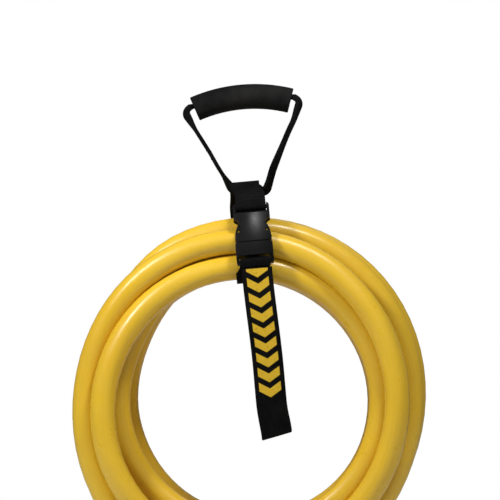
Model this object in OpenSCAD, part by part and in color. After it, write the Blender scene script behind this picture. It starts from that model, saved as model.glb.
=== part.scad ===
// Shore power cord, 50 A, coiled and hung in its webbing carrying strap.
// Millimetres. +Z is up, +X is to the right and +Y goes away from the viewer.
// The origin is the middle of the hand grip, from which everything hangs.
// The strap, its buckle and the handle share a frame that leans by strap_lean.

/* [Cord] */
// Diameter of the cord's jacket
cord_d = 25; // [22:0.5:27]
// Free space between neighbouring turns
turn_gap = 0.5; // [0.5:0.1:2]
// Layers of turns, from front to back
coil_layers = 4; // [2:2:4]
// Half width of the innermost turn, at the middle of the cord
coil_inner_r = 119; // [105:1:130]
// Extra half height of every turn, from its own weight
coil_sag = 7; // [0:1:12]
// How much lower every other layer hangs at the strap
layer_droop = 6; // [0:0.5:6]
// Middle of the coil, to the right of the grip
coil_x = 4; // [0:1:8]
// Middle of the coil, below the grip
coil_drop = 303; // [300:1:306]

/* [Handle] */
// Outside diameter of the grip sleeve
grip_d = 25; // [23:0.5:30]
// Radius that the grip is bowed to
grip_bow_r = 150; // [120:5:200]
// Length of the grip along its bow
grip_length = 98; // [90:1:104]
// Half width of the handle at its two upper corners
handle_half_top = 57; // [56:1:62]
// Half width of the handle where it goes through the strap
handle_half_base = 19; // [18:0.5:22]
// Drop from the grip to the handle's bottom run
handle_drop = 91.8; // [85:0.1:93]
// Thickness of the doubled handle webbing
handle_t = 3.6; // [3:0.2:4]
// Half width of the handle webbing where it is folded narrow inside the strap
fold_half = 4.5; // [4:0.25:6]

/* [Strap] */
// Width of the webbing
web_w = 30; // [26:1:32]
// Thickness of one layer of webbing
web_t = 1.7; // [1.4:0.1:2]
// Lean of the handle and the strap towards the right, in degrees
strap_lean = 5; // [3:0.5:6]
// Middle of the strap, to the right in its own frame
strap_u = -1; // [-3:0.5:2]
// Slack of the loop round the cords
strap_slack = 5.6; // [5.4:0.1:6.5]
// Length of the strap's free tail
tail_length = 168.5; // [120:0.5:200]
// Difference in length between the tail's two corners
tail_slant = 6; // [0:1:15]
// How far the tail's end has drifted sideways from its top
tail_drift = 5.8; // [0:0.1:8]

/* [Buckle] */
// Width of the buckle
buckle_w = 36; // [36:0.5:40]
// Thickness of the buckle
buckle_t = 10; // [9:0.5:11]
// Length of the female half's plate
female_l = 32.5; // [30:0.5:36]
// Length of the male half's base
male_l = 14; // [13:0.5:18]
// Half width of the side windows' narrowest place
waist_half = 11.5; // [10.5:0.5:12]
// Tilt of the buckle from the vertical, in degrees
buckle_tilt = 22; // [18:1:26]

/* [Plug] */
// Diameter of the plug's face
plug_d = 66; // [64:1:72]
// Depth of the plug's housing behind its face
plug_depth = 42; // [40:1:50]
// Spacing of the two hot blades
hot_spacing = 27; // [25:0.5:29]
// Width of a blade
blade_w = 17.5; // [15:0.5:18]
// Thickness of a blade
blade_t = 2.4; // [2:0.1:3]
// Length of a blade in front of the face
blade_l = 25; // [20:0.5:28]
// Diameter of the ground pin
ground_d = 7; // [6:0.1:7.2]
// Length of the ground pin in front of the face
ground_l = 32; // [29:0.5:36]

/* [Connector] */
// Diameter of the connector's housing
connector_d = 54; // [53:0.5:58]
// Length of the connector's housing, from the strain relief to the nose
connector_l = 86; // [80:1:100]
// Outside diameter of the locking ring
ring_d = 82; // [78:1:90]
// Radius of the ring's mouth, to the crests of its thread
ring_mouth_r = 33; // [32:0.5:35]
// How far the ring stands out past the connector's nose
ring_overhang = 14; // [12:0.5:18]

/* [Strain reliefs] */
// Length of a strain relief
relief_l = 50; // [40:1:60]
// Diameter of a strain relief where the cord goes in
relief_top_d = 30; // [30:0.5:34]
// Diameter of a strain relief's foot
relief_foot_d = 40; // [38:0.5:42]

/* [Fits] */
// Gap between pieces that seat on each other
seat = 0.3; // [0.2:0.05:0.4]
// Room for the folded handle webbing to turn inside the strap
fold_room = 0.9; // [0.8:0.1:1.4]

/* [Hidden] */

yellow = [0.93, 0.72, 0.10];
web_black = [0.07, 0.07, 0.075];
plastic_black = [0.10, 0.10, 0.11];
buckle_grey = [0.17, 0.17, 0.18];
brass = [0.80, 0.62, 0.30];
steel = [0.75, 0.75, 0.77];
fine = 64;

// ---- Coil: layers that spiral in and out again, seen as turns counted from the plug's end ----
// Angles are measured in the coil's plane, from +X towards +Z. The cord runs clockwise.
leave_deg = 210;
bottom_deg = 270;
rings_per_turn = 24;
ring_sides = 6;
pitch = cord_d + turn_gap;
layer_span = 2;
climb_turns = 0.5;
lead = (bottom_deg - leave_deg) / 360;
first_reversal = layer_span - lead;
coil_turns = coil_layers * layer_span - 2 * lead;
coil_y0 = -(coil_layers - 1) / 2 * pitch;

function clamp01(x) = max(0, min(1, x));
function ease(x) = x * x * (3 - 2 * x);
function reversal(i) = first_reversal + i * layer_span;
function layer_at(t, i = 0) = i > coil_layers - 2 ? 0 :
    ease(clamp01((t - reversal(i)) / climb_turns + 0.5)) + layer_at(t, i + 1);
// Turns between t and the nearest reversal at the inside of the coil
function from_inside(t) = abs((t + lead) % (2 * layer_span) - layer_span);
function coil_angle(t) = leave_deg - 360 * t;
function coil_radius(t) = coil_inner_r + pitch * from_inside(t)
    - layer_droop * cos(180 * layer_at(t)) * (1 + sin(coil_angle(t))) / 2;
function coil_point(t) = let (a = coil_angle(t), r = coil_radius(t))
    [coil_x + r * cos(a), coil_y0 + layer_at(t) * pitch, -coil_drop + (r + coil_sag) * sin(a)];

function unit(v) = v / norm(v);
small_turn = 0.002;
coil_start_dir = unit(coil_point(0) - coil_point(small_turn));
coil_end_dir = unit(coil_point(coil_turns) - coil_point(coil_turns - small_turn));
coil_start = coil_point(0) + cord_d * coil_start_dir;
coil_end = coil_point(coil_turns) + cord_d * coil_end_dir;
coil_steps = ceil(coil_turns * rings_per_turn);
coil_middle = [for (i = [0:coil_steps]) coil_point(i * coil_turns / coil_steps)];
coil_path = concat([coil_start], coil_middle, [coil_end]);

// The free ends: steps from the coil's end, chosen by hand, mirrored for the other end
end_steps = [[6, -12], [10, -25], [13, -38], [14, -53], [14, -78], [14, -103], [14, -128], [14, -150]];
straight_l = 3;
plug_end_path = concat([coil_start, coil_start + straight_l * coil_start_dir],
    [for (s = end_steps) coil_start + [s.x, 0, s.y]]);
connector_end_path = concat([coil_end, coil_end + straight_l * coil_end_dir],
    [for (s = end_steps) coil_end + [-s.x, 0, s.y]]);
plug_at = plug_end_path[len(plug_end_path) - 1];
connector_at = connector_end_path[len(connector_end_path) - 1];

function path_length(p, i = 1) = i >= len(p) ? 0 : norm(p[i] - p[i - 1]) + path_length(p, i + 1);
// Least distance between points of the coil that are more than 0.6 of a turn apart
near_skip = floor(0.6 * rings_per_turn);
coil_gap = min([for (i = [0:len(coil_middle) - 1]) for (j = [i + near_skip:1:len(coil_middle) - 1])
    norm(coil_middle[i] - coil_middle[j])]) - cord_d;
echo(coil_gap = coil_gap, coil_length = path_length(coil_path));
echo(cord_length = path_length(coil_path) + path_length(plug_end_path) + path_length(connector_end_path));

// A round tube swept along points that stay in planes of constant Y, or nearly so
module tube(path, d, sides) {
    last = len(path) - 1;
    start_dir = unit(path[1] - path[0]);
    end_dir = unit(path[last] - path[last - 1]);
    points = [for (i = [0:last])
        let (t = i == 0 ? start_dir : i == last ? end_dir
                 : unit(unit(path[i + 1] - path[i]) + unit(path[i] - path[i - 1])),
             side = unit(cross(t, [0, 1, 0])), up = cross(side, t))
        for (k = [0:sides - 1])
            path[i] + d / 2 * (cos(360 * k / sides) * side + sin(360 * k / sides) * up)];
    walls = [for (i = [0:last - 1]) for (k = [0:sides - 1])
        let (a = i * sides + k, b = i * sides + (k + 1) % sides)
        each [[a, a + sides, b], [b, a + sides, b + sides]]];
    caps = [for (k = [1:sides - 2]) each
        [[0, k, k + 1], [last * sides, last * sides + k + 1, last * sides + k]]];
    polyhedron(points, concat(walls, caps), convexity = 10);
}

module cord_coil() {
    color(yellow) tube(coil_path, cord_d, ring_sides);
}

module cord_plug_end() {
    color(yellow) tube(plug_end_path, cord_d, 8);
}

module cord_connector_end() {
    color(yellow) tube(connector_end_path, cord_d, 8);
}

// ---- Strap frame: u to the right, y away, v up, leaning about the grip ----
module strap_frame() {
    rotate([0, -strap_lean, 0]) children();
}

function to_strap(p) = [p.x * cos(strap_lean) + p.z * sin(strap_lean), p.y,
                        -p.x * sin(strap_lean) + p.z * cos(strap_lean)];

// Where the strap crosses the turns
strap_cross_deg = 86.5;
function crossing(k) = to_strap(coil_point((leave_deg - strap_cross_deg) / 360 + k));
front_outer = crossing(0);
front_inner = crossing(1);
third_inner = crossing(2 * layer_span + 1);
back_inner = crossing(coil_layers == 4 ? 6 : 2);
back_outer = crossing(coil_layers == 4 ? 7 : 3);
under_inner = coil_layers == 4 ? third_inner : back_inner;

// A path in the Y-Z plane round circles [y, z, radius, turn], turn 1 to the left and -1 to the right
function heading(a, b) = let (d = [b[0] - a[0], b[1] - a[1]])
    atan2(d.y, d.x) + asin((a[3] * a[2] - b[3] * b[2]) / norm(d));
function right_of(deg) = [sin(deg), -cos(deg)];
function turn_by(from_deg, to_deg, turn) = let (d = ((to_deg - from_deg) % 360 + 360) % 360)
    turn > 0 ? d : d - 360;
function round_circle(c, in_deg, out_deg) = let (by = turn_by(in_deg, out_deg, c[3]),
    steps = max(1, ceil(abs(by) / 15)))
    [for (k = [0:steps]) [c[0], c[1]] + c[3] * c[2] * right_of(in_deg + by * k / steps)];
function wrap_path(c) = let (last = len(c) - 1) concat([[c[0][0], c[0][1]]],
    [for (i = [1:last - 1]) each round_circle(c[i], heading(c[i - 1], c[i]), heading(c[i], c[i + 1]))],
    [[c[last][0], c[last][1]]]);

// A band of even thickness along a path
function band_side(p, off) = [for (i = [0:len(p) - 1])
    let (a = unit(p[min(i + 1, len(p) - 1)] - p[min(i, len(p) - 2)]),
         b = unit(p[max(i, 1)] - p[max(i - 1, 0)]),
         t = unit(a + b))
    p[i] + off * [-t.y, t.x]];
function reversed(p) = [for (i = [len(p) - 1:-1:0]) p[i]];
function band(p, t) = concat(band_side(p, t / 2), reversed(band_side(p, -t / 2)));

// Extrudes a Y-Z outline along the strap's width
module across(width, at = strap_u) {
    translate([at - width / 2, 0, 0]) rotate([90, 0, 90]) linear_extrude(width) children();
}

// Extrudes an outline seen from the front along Y, centred on y
module deep(depth, y = 0) {
    translate([0, y + depth / 2, 0]) rotate([90, 0, 0]) linear_extrude(depth) children();
}

module rounded_rect(w, h, r) {
    square([w - 2 * r, h], center = true);
    square([w, h - 2 * r], center = true);
    for (x = [-1, 1]) for (y = [-1, 1]) translate([x * (w / 2 - r), y * (h / 2 - r)]) circle(r, $fn = 32);
}

// ---- Handle ----
grip_half_deg = grip_length / grip_bow_r * 90 / PI;
grip_end_u = grip_bow_r * sin(grip_half_deg);
grip_end_v = -grip_bow_r * (1 - cos(grip_half_deg));
folded_w = 17;
corner_r = 6;
corner_v = grip_end_v - handle_t / 2;

// Centre line of the handle webbing, seen from the front, from the middle of the bottom run round
handle_right = wrap_path([
    [0, -handle_drop, 0, 1],
    [handle_half_base - corner_r, -handle_drop + corner_r, corner_r, 1],
    [handle_half_top - handle_t / 2 - corner_r, corner_v - corner_r, corner_r, 1],
    [grip_end_u + 0.5, grip_end_v - 0.1, 0, 1]]);
handle_top = [for (k = [0:12]) let (a = grip_half_deg * (1 - k / 6)) grip_bow_r * [sin(a), cos(a) - 1]];
handle_left = [for (p = reversed(handle_right)) if (p.x > 0) [-p.x, p.y]];
handle_path = concat(handle_right, handle_top, handle_left);

// Seen from above, the webbing is folded narrow inside the grip and opens out at its ends
module handle_plan() {
    half = web_w / 2;
    inside = folded_w / 2;
    open_u = handle_half_top - corner_r;
    narrow_u = grip_end_u + 1;
    polygon([[-handle_half_top - 5, -half], [-open_u, -half], [-narrow_u, -inside], [narrow_u, -inside],
             [open_u, -half], [handle_half_top + 5, -half], [handle_half_top + 5, half], [open_u, half],
             [narrow_u, inside], [-narrow_u, inside], [-open_u, half], [-handle_half_top - 5, half]]);
}

// Seen from the side, it's folded narrow again where the strap goes over it, so the strap can swing round it
fold_rise = 7;
open_rise = 31;
module handle_side(top) {
    half = web_w / 2;
    bottom = -handle_drop - handle_t;
    fold_v = -handle_drop + fold_rise;
    open_v = -handle_drop + open_rise;
    polygon([[-half, top], [-half, open_v], [-fold_half, fold_v], [-fold_half, bottom],
             [fold_half, bottom], [fold_half, fold_v], [half, open_v], [half, top]]);
}

module handle_webbing() {
    color(web_black) strap_frame() {
        top_cut = grip_end_v - grip_d / 2 - 1;
        intersection() {
            deep(web_w) difference() {
                polygon(band_side(handle_path, -handle_t / 2));
                polygon(band_side(handle_path, handle_t / 2));
            }
            union() {
                translate([0, 0, top_cut]) linear_extrude(grip_d + 30) handle_plan();
                across(2 * handle_half_top + 10, 0) handle_side(top_cut);
            }
        }
    }
}

module grip_sleeve() {
    color(plastic_black) strap_frame()
        translate([0, 0, -grip_bow_r]) rotate([90, 0, 0]) rotate([0, 0, 90 - grip_half_deg])
            rotate_extrude(angle = 2 * grip_half_deg, $fn = 180) translate([grip_bow_r, 0]) difference() {
                circle(grip_d / 2, $fn = fine);
                square([handle_t + 2 * seat, folded_w + 2 * seat], center = true);
            }
}

// Thread bars that close the doubled webbing, on each leg's outer face
tack_t = 0.5;
tack_w = 2;
module handle_stitching() {
    leg_to = [handle_half_top - handle_t / 2, corner_v - corner_r];
    leg_deg = heading([handle_half_base - corner_r, -handle_drop + corner_r, corner_r, 1],
                      [handle_half_top - handle_t / 2 - corner_r, corner_v - corner_r, corner_r, 1]);
    normal = right_of(leg_deg);
    foot = [handle_half_base - corner_r, -handle_drop + corner_r] + (corner_r + handle_t / 2) * normal;
    along = [cos(leg_deg), sin(leg_deg)];
    color(web_black) strap_frame() for (mirror_x = [0, 1]) mirror([mirror_x, 0, 0])
        for (s = [34, 44, norm(leg_to - foot) - 8])
            translate([(foot + s * along).x, 0, (foot + s * along).y]) rotate([0, -leg_deg, 0])
                translate([-tack_w / 2, -web_w / 2 + 3, -tack_t])
                    cube([tack_w, web_w - 6, tack_t]);
}

// ---- Buckle frame: x across, z along it towards the handle, -y out of its face ----
bar_r = 2;
male_bar_r = 2.5;
slot_h = 3.4;
bar_v = female_l + slot_h + bar_r;
male_bar_v = -(male_l + slot_h + male_bar_r);
slot_half = web_w / 2 + 0.4;
buckle_gap = 0.5;
parting_below = 8;
out_dir = [-cos(buckle_tilt), sin(buckle_tilt)];
along_dir = [sin(buckle_tilt), cos(buckle_tilt)];
buckle_at = [front_outer.y, front_outer.z] + (cord_d / 2 + buckle_gap + buckle_t / 2) * out_dir
    - parting_below * along_dir;

module buckle_frame() {
    strap_frame() translate([strap_u, buckle_at.x, buckle_at.y]) rotate([-buckle_tilt, 0, 0]) children();
}

// A point of the buckle's middle plane, seen from the side
function on_buckle(z) = buckle_at + z * along_dir;

// Female half, seen from the front: ears round the bar, windows at the sides, a mouth below
collar_h = 5;
window_top = 25;
module female_outline() {
    half = buckle_w / 2;
    difference() {
        translate([0, (bar_v + bar_r + 1.5) / 2]) rounded_rect(buckle_w, bar_v + bar_r + 1.5, 3);
        for (s = [-1, 1]) {
            translate([s * (half + 4), (collar_h + window_top) / 2]) intersection() {
                circle(half + 4 - waist_half, $fn = fine);
                square([40, window_top - collar_h], center = true);
            }
        }
        translate([-slot_half, female_l]) square([2 * slot_half, bar_v + bar_r + 6 - female_l]);
    }
}

prong_t = 4.6;
prong_room = prong_t + 2 * seat;
tongue_half = 4;
arm_out = 14.6;
arm_in = 10.4;
head_out = buckle_w / 2 - 0.6;
pivot_x = 12.5;
pivot_z = -9;
pivot_r = 2.4;

module buckle_female() {
    color(buckle_grey) buckle_frame() difference() {
        union() {
            intersection() {
                deep(buckle_t) female_outline();
                translate([-buckle_w / 2, 0, 0]) rotate([90, 0, 90]) linear_extrude(buckle_w)
                    side_profile();
            }
            translate([-slot_half - 0.5, 0, bar_v]) rotate([0, 90, 0])
                cylinder(r = bar_r, h = 2 * slot_half + 1, $fn = 32);
        }
        translate([-arm_out - 0.6, -prong_room / 2, -1]) cube([2 * arm_out + 1.2, prong_room, window_top + 4]);
        translate([-buckle_w / 2 - 1, -prong_room / 2, collar_h])
            cube([buckle_w + 2, prong_room, window_top - collar_h]);
    }
}

// The female half seen from the side: full up to the slot, then bevelled, and thinner at the bar
module side_profile() {
    t = buckle_t / 2;
    bevel_v = female_l - 1.8;
    polygon([[-t + 0.8, 0], [t - 0.8, 0], [t, 1], [t, bevel_v], [t * 0.68, female_l], [t * 0.55, bar_v],
             [t * 0.5, bar_v + 5], [-t * 0.5, bar_v + 5], [-t * 0.55, bar_v], [-t * 0.68, female_l],
             [-t, bevel_v], [-t, 1]]);
}

module buckle_male() {
    base_top = -seat;
    color(buckle_grey) buckle_frame() {
        difference() {
            intersection() {
                deep(buckle_t) union() {
                    translate([0, (base_top + male_bar_v - male_bar_r) / 2])
                        rounded_rect(buckle_w + 0.6, base_top - male_bar_v + male_bar_r, 2.5);
                    translate([-tongue_half, -4]) square([2 * tongue_half, 4 + 20]);
                }
                translate([-buckle_w, 0, 0]) rotate([90, 0, 90]) linear_extrude(2 * buckle_w)
                    male_side();
            }
            translate([-slot_half, -buckle_t, -male_l - slot_h]) cube([2 * slot_half, 2 * buckle_t, slot_h]);
            translate([-slot_half, -buckle_t, male_bar_v - male_bar_r - 1])
                cube([2 * slot_half, 2 * buckle_t, 2 * male_bar_r + 1]);
            for (s = [0, 1]) mirror([s, 0, 0])
                translate([tongue_half, -prong_room / 2, -12])
                    cube([arm_out + 1.6 - tongue_half, prong_room, 13]);
        }
        translate([-slot_half - 0.5, 0, male_bar_v]) rotate([0, 90, 0])
            cylinder(r = male_bar_r, h = 2 * slot_half + 1, $fn = 32);
    }
}

module male_side() {
    t = buckle_t / 2;
    tongue_t = prong_t / 2;
    polygon([[-tongue_t, 20], [tongue_t, 20], [tongue_t, -seat], [t, -seat], [t, -male_l],
             [male_bar_r, male_bar_v - male_bar_r], [-male_bar_r, male_bar_v - male_bar_r],
             [-t, -male_l], [-t, -seat], [-tongue_t, -seat]]);
}

// One springy prong: a round root, a slim arm and a head that fills the window
module prong() {
    deep(prong_t) difference() {
        union() {
            translate([pivot_x, pivot_z]) circle(pivot_r, $fn = 32);
            polygon([[arm_in, pivot_z], [arm_out, pivot_z], [arm_out, collar_h + seat],
                     [head_out, collar_h + seat], [head_out + 0.2, collar_h + 3.5],
                     [head_out - 0.6, collar_h + 8], [head_out - 2.2, collar_h + 12.5],
                     [head_out - 4.6, collar_h + 17], [head_out - 7.4, collar_h + 20.6],
                     [head_out - 9, collar_h + 20.6], [head_out - 8.2, collar_h + 15],
                     [arm_in + 0.6, collar_h + 6]]);
        }
        translate([(arm_in + arm_out) / 2 + 1.5, collar_h + 8]) circle(1.3, $fn = 24);
    }
}

module prong_right() {
    color(plastic_black) buckle_frame() prong();
}

module prong_left() {
    color(plastic_black) buckle_frame() mirror([1, 0, 0]) prong();
}

// ---- Loop strap ----
apex_r = norm([fold_half, handle_t / 2]) + fold_room + web_t / 2;
apex_v = -handle_drop;
round_r = cord_d / 2 + strap_slack + web_t / 2;
bar_wrap_r = bar_r + seat + web_t / 2;
male_wrap_r = male_bar_r + seat + web_t / 2;
female_bar = on_buckle(bar_v);
male_bar = on_buckle(male_bar_v);
front_run_dir = unit([0, apex_v] - female_bar);
doubled_l = 20;
fold_end = female_bar + doubled_l * front_run_dir + 1.9 * [-front_run_dir.y, front_run_dir.x];
tail_y = male_bar.x - male_wrap_r;
tail_top = male_bar.y - male_bar_r - 2;
strap_route = wrap_path([
    [fold_end.x, fold_end.y, 0, -1],
    [female_bar.x, female_bar.y, bar_wrap_r, -1],
    [0, apex_v, apex_r, -1],
    [back_outer.y, back_outer.z, round_r, -1],
    [back_inner.y, back_inner.z, round_r, -1],
    [under_inner.y, under_inner.z, round_r, -1],
    [front_inner.y, front_inner.z, round_r, -1],
    [male_bar.x, male_bar.y, male_wrap_r, 1],
    [tail_y, tail_top, 0, 1]]);

module loop_strap() {
    color(web_black) strap_frame() across(web_w) polygon(band(strap_route, web_t));
}

// The tail hangs from a rounded top just below the male bar
tail_hinge = [tail_y, tail_top - seat - web_t / 2];
module strap_tail() {
    half = web_w / 2;
    color(web_black) strap_frame() translate([strap_u, tail_hinge.x, tail_hinge.y]) {
        rotate([0, 90, 0]) translate([0, 0, -half]) cylinder(r = web_t / 2, h = web_w, $fn = 32);
        deep(web_t) polygon([[-half, 0], [half, 0], [half + 0.55 * tail_drift, -0.45 * tail_length],
            [half + 0.65 * tail_drift, -0.8 * tail_length], [half + 0.85 * tail_drift, tail_slant - tail_length],
            [tail_drift - half, -tail_length], [0.65 * tail_drift - half, -0.8 * tail_length],
            [0.55 * tail_drift - half, -0.45 * tail_length]]);
    }
}

// Bar tacks across the doubled part of the run between the handle and the buckle
module strap_stitching() {
    start = [0, apex_v, apex_r, -1];
    finish = [female_bar.x, female_bar.y, bar_wrap_r, -1];
    run_deg = heading(finish, start);
    face = right_of(run_deg);
    top = [start[0], start[1]] - (apex_r + web_t / 2) * face;
    down = -[cos(run_deg), sin(run_deg)];
    run = norm([finish[0] - start[0], finish[1] - start[1]]);
    color(web_black) strap_frame() for (s = [run - 17, run - 9])
        translate([strap_u - web_w / 2 + 3, (top + s * down).x, (top + s * down).y])
            rotate([run_deg, 0, 0]) translate([0, -tack_w / 2, 0]) cube([web_w - 6, tack_w, tack_t]);
}

// ---- Strain relief: a ribbed taper with a foot that seats on its housing ----
groove_w = 3;
groove_deep = 1.6;
groove_n = 4;
foot_h = 5;
module strain_relief() {
    taper = relief_l - foot_h;
    color(plastic_black) difference() {
        union() {
            translate([0, 0, -taper]) cylinder(d1 = relief_foot_d - 5, d2 = relief_top_d, h = taper, $fn = fine);
            translate([0, 0, -relief_l]) cylinder(d = relief_foot_d, h = foot_h, $fn = fine);
        }
        for (i = [0:groove_n - 1]) translate([0, 0, -8 - i * (taper - 12) / groove_n])
            rotate_extrude($fn = fine) translate([relief_top_d / 2 + 2 - groove_deep + i * 0.55, -groove_w])
                square([10, groove_w]);
    }
}

module plug_strain_relief() {
    translate(plug_at) strain_relief();
}

module connector_strain_relief() {
    translate(connector_at) strain_relief();
}

// ---- Plug: its face looks to the left, its finger handle is at the right ----
plug_r = plug_d / 2;
plug_wall = 7;
cavity_r = plug_r - plug_wall;
neck_r = relief_foot_d / 2;
neck_bore_r = 12;
plug_axis_z = -relief_l - seat - plug_r - 1;
face_t = 6;
spigot_t = 8;
back_wall = 7;
front_x = -plug_depth / 2;
back_x = plug_depth / 2;
handle_bar = 13;
handle_gap = 24;
handle_h = 78;
hot_y = hot_spacing / 2;
neutral_z = 12;
ground_z = -16.5;
screw_r = 1.6;
screw_head_r = 3;
screw_at = plug_r - plug_wall / 2;

module plug_frame() {
    translate(plug_at) children();
}

// A solid of revolution about the plug's own axis, from a profile of [x, radius]
module plug_turned(profile) {
    translate([0, 0, plug_axis_z]) rotate([0, 90, 0]) rotate_extrude($fn = fine)
        polygon([for (p = profile) [p.y, p.x]]);
}

module plug_body() {
    waist = plug_r - 6;
    color(plastic_black) plug_frame() difference() {
        union() {
            plug_turned([[front_x, 0], [front_x, plug_r], [front_x + 9, plug_r], [front_x + 12, plug_r - 2],
                         [front_x + 16, waist], [back_x - 8, waist - 1], [back_x - 3, waist - 3],
                         [back_x, waist - 8], [back_x, 0]]);
            translate([0, 0, plug_axis_z]) cylinder(r = neck_r, h = -relief_l - seat - plug_axis_z, $fn = fine);
            translate([back_x - 6 + (handle_gap + handle_bar) / 2 + 3, 0, plug_axis_z]) deep(18)
                rounded_rect(handle_gap + handle_bar + 6, handle_h, 14);
        }
        translate([back_x + handle_gap / 2 - 1, 0, plug_axis_z])
            deep(30) rounded_rect(handle_gap, handle_h - 2 * handle_bar, 9);
        plug_turned([[front_x - 1, 0], [front_x - 1, cavity_r], [back_x - back_wall, cavity_r],
                     [back_x - back_wall, 0]]);
        translate([0, 0, plug_axis_z + 10]) cylinder(r = neck_bore_r, h = 60, $fn = fine);
        plug_screw_holes(12, screw_r + 0.1);
    }
}

module plug_screw_holes(depth, r) {
    for (a = [45:90:315]) translate([front_x, screw_at * cos(a), plug_axis_z + screw_at * sin(a)])
        rotate([0, 90, 0]) cylinder(r = r, h = depth, $fn = 24);
}

// A blade's section, seen along the plug's axis, with clearance c
module blade_section(c = 0) {
    square([blade_t + 2 * c, blade_w + 2 * c], center = true);
}

// Turns a section in the Y-Z plane into a solid along X
module along_x(x0, x1) {
    translate([x0, 0, 0]) rotate([90, 0, 90]) linear_extrude(x1 - x0) children();
}

face_x = front_x - seat;
spigot_x = face_x + spigot_t;
blade_fit = 0.15;
shank_r = ground_d / 2 + 0.5;
module plug_face() {
    color(plastic_black) plug_frame() difference() {
        union() {
            plug_turned([[face_x - face_t, 0], [face_x - face_t, plug_r - 2], [face_x - face_t + 2, plug_r],
                         [face_x, plug_r], [face_x, 0]]);
            plug_turned([[face_x - 0.1, 0], [face_x - 0.1, cavity_r - seat], [spigot_x, cavity_r - seat],
                         [spigot_x, 0]]);
        }
        translate([0, 0, plug_axis_z]) along_x(face_x - face_t - 1, spigot_x + 1) {
            for (s = [-1, 1]) translate([s * hot_y, 0]) blade_section(blade_fit);
            translate([0, neutral_z]) blade_section(blade_fit);
        }
        translate([face_x - face_t - 1, 0, plug_axis_z + ground_z]) rotate([0, 90, 0])
            cylinder(r = shank_r + blade_fit, h = face_t + spigot_t + 2, $fn = 48);
        for (a = [45:90:315]) translate([face_x - face_t - 1, screw_at * cos(a), plug_axis_z + screw_at * sin(a)])
            rotate([0, 90, 0]) {
                cylinder(r = screw_r + 0.1, h = face_t + 2, $fn = 24);
                cylinder(r = screw_head_r + 0.1, h = 3, $fn = 24);
            }
    }
}

tail_x = spigot_x + seat;
blade_tip_x = face_x - face_t - blade_l;
shoulder = 2;
module blade(y, z) {
    tip = 3;
    half = blade_w / 2;
    color(brass) plug_frame() translate([0, y, plug_axis_z + z]) {
        deep(blade_t) polygon([[blade_tip_x + tip, -half], [tail_x + 1, -half], [tail_x + 1, half],
                               [blade_tip_x + tip, half], [blade_tip_x, half - tip],
                               [blade_tip_x, -half + tip]]);
        translate([tail_x, -blade_t / 2 - 0.7, -half]) cube([shoulder, blade_t + 1.4, blade_w]);
        translate([tail_x + shoulder - 0.1, 0, 0]) rotate([0, 90, 0]) cylinder(r = 3.4, h = 4, $fn = 32);
    }
}
blade_back_x = tail_x + shoulder - 0.1 + 4;

module blade_hot_x() {
    blade(-hot_y, 0);
}

module blade_hot_y() {
    blade(hot_y, 0);
}

module blade_neutral() {
    blade(0, neutral_z);
}

module ground_pin() {
    r = ground_d / 2;
    tip_x = face_x - face_t - ground_l;
    color(brass) plug_frame() translate([0, 0, ground_z])
        plug_turned([[tip_x, 0], [tip_x, r - 2], [tip_x + 0.6, r - 0.9], [tip_x + 2, r],
                     [face_x - face_t, r], [face_x - face_t, shank_r], [tail_x, shank_r],
                     [tail_x, shank_r + 1], [tail_x + 3, shank_r + 1], [tail_x + 3, 3], [blade_back_x, 3],
                     [blade_back_x, 0]]);
}

module plug_screws() {
    color(steel) plug_frame() for (a = [45:90:315])
        translate([face_x - face_t, screw_at * cos(a), plug_axis_z + screw_at * sin(a)]) rotate([0, 90, 0])
            difference() {
                union() {
                    cylinder(r = screw_head_r, h = 1.8, $fn = 24);
                    cylinder(r = screw_r, h = face_t + 8, $fn = 24);
                }
                translate([-0.5, -2, -1]) cube([1, 4, 1.8]);
            }
}

// ---- Connector: it hangs nose down ----
connector_r = connector_d / 2;
shell_wall = 5;
hollow_r = connector_r - shell_wall;
body_top = -relief_l - seat;
nose_z = -relief_l - connector_l;
flange_z = nose_z + 14;
flange_h = 4;
shoulder_l = 22.5;
flange_r = connector_r + 4;
insert_h = 30;
hollow_top = -relief_l - 16;
contact_r = 13;
contact_slot = 3.4;
slot_arc = 56;
flutes = 12;
flute_r = 3;
flute_gap = 10;

module connector_frame() {
    translate(connector_at) children();
}

module connector_body() {
    color(plastic_black) connector_frame() difference() {
        rotate_extrude($fn = 96) polygon([[0, body_top], [neck_r, body_top], [neck_r + 1, body_top - shoulder_l / 3],
            [connector_r - 3, body_top - 2 * shoulder_l / 3], [connector_r, body_top - shoulder_l], [connector_r, flange_z],
            [flange_r, flange_z], [flange_r, flange_z - flange_h], [connector_r - 0.5, flange_z - flange_h],
            [connector_r - 0.5, nose_z + 1], [connector_r - 1.5, nose_z], [0, nose_z]]);
        translate([0, 0, nose_z - 1]) cylinder(r = hollow_r, h = hollow_top - nose_z + 1, $fn = fine);
        translate([0, 0, hollow_top - 1]) cylinder(r = neck_bore_r, h = body_top - hollow_top + 2, $fn = fine);
        for (a = [0:360 / flutes:359]) rotate([0, 0, a]) translate([connector_r + 0.55 * flute_r, 0, flange_z + flute_gap])
            cylinder(r = flute_r, h = body_top - shoulder_l - flute_r - flange_z - flute_gap, $fn = 24);
    }
}

// One arc slot or contact, seen along the connector's axis
module arc_section(mid_deg, r, w, arc) {
    steps = 8;
    inner = [for (k = [0:steps]) (r - w / 2) * [cos(mid_deg - arc / 2 + arc * k / steps),
                                              sin(mid_deg - arc / 2 + arc * k / steps)]];
    outer = [for (k = [steps:-1:0]) (r + w / 2) * [cos(mid_deg - arc / 2 + arc * k / steps),
                                               sin(mid_deg - arc / 2 + arc * k / steps)]];
    polygon(concat(inner, outer));
}

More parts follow.
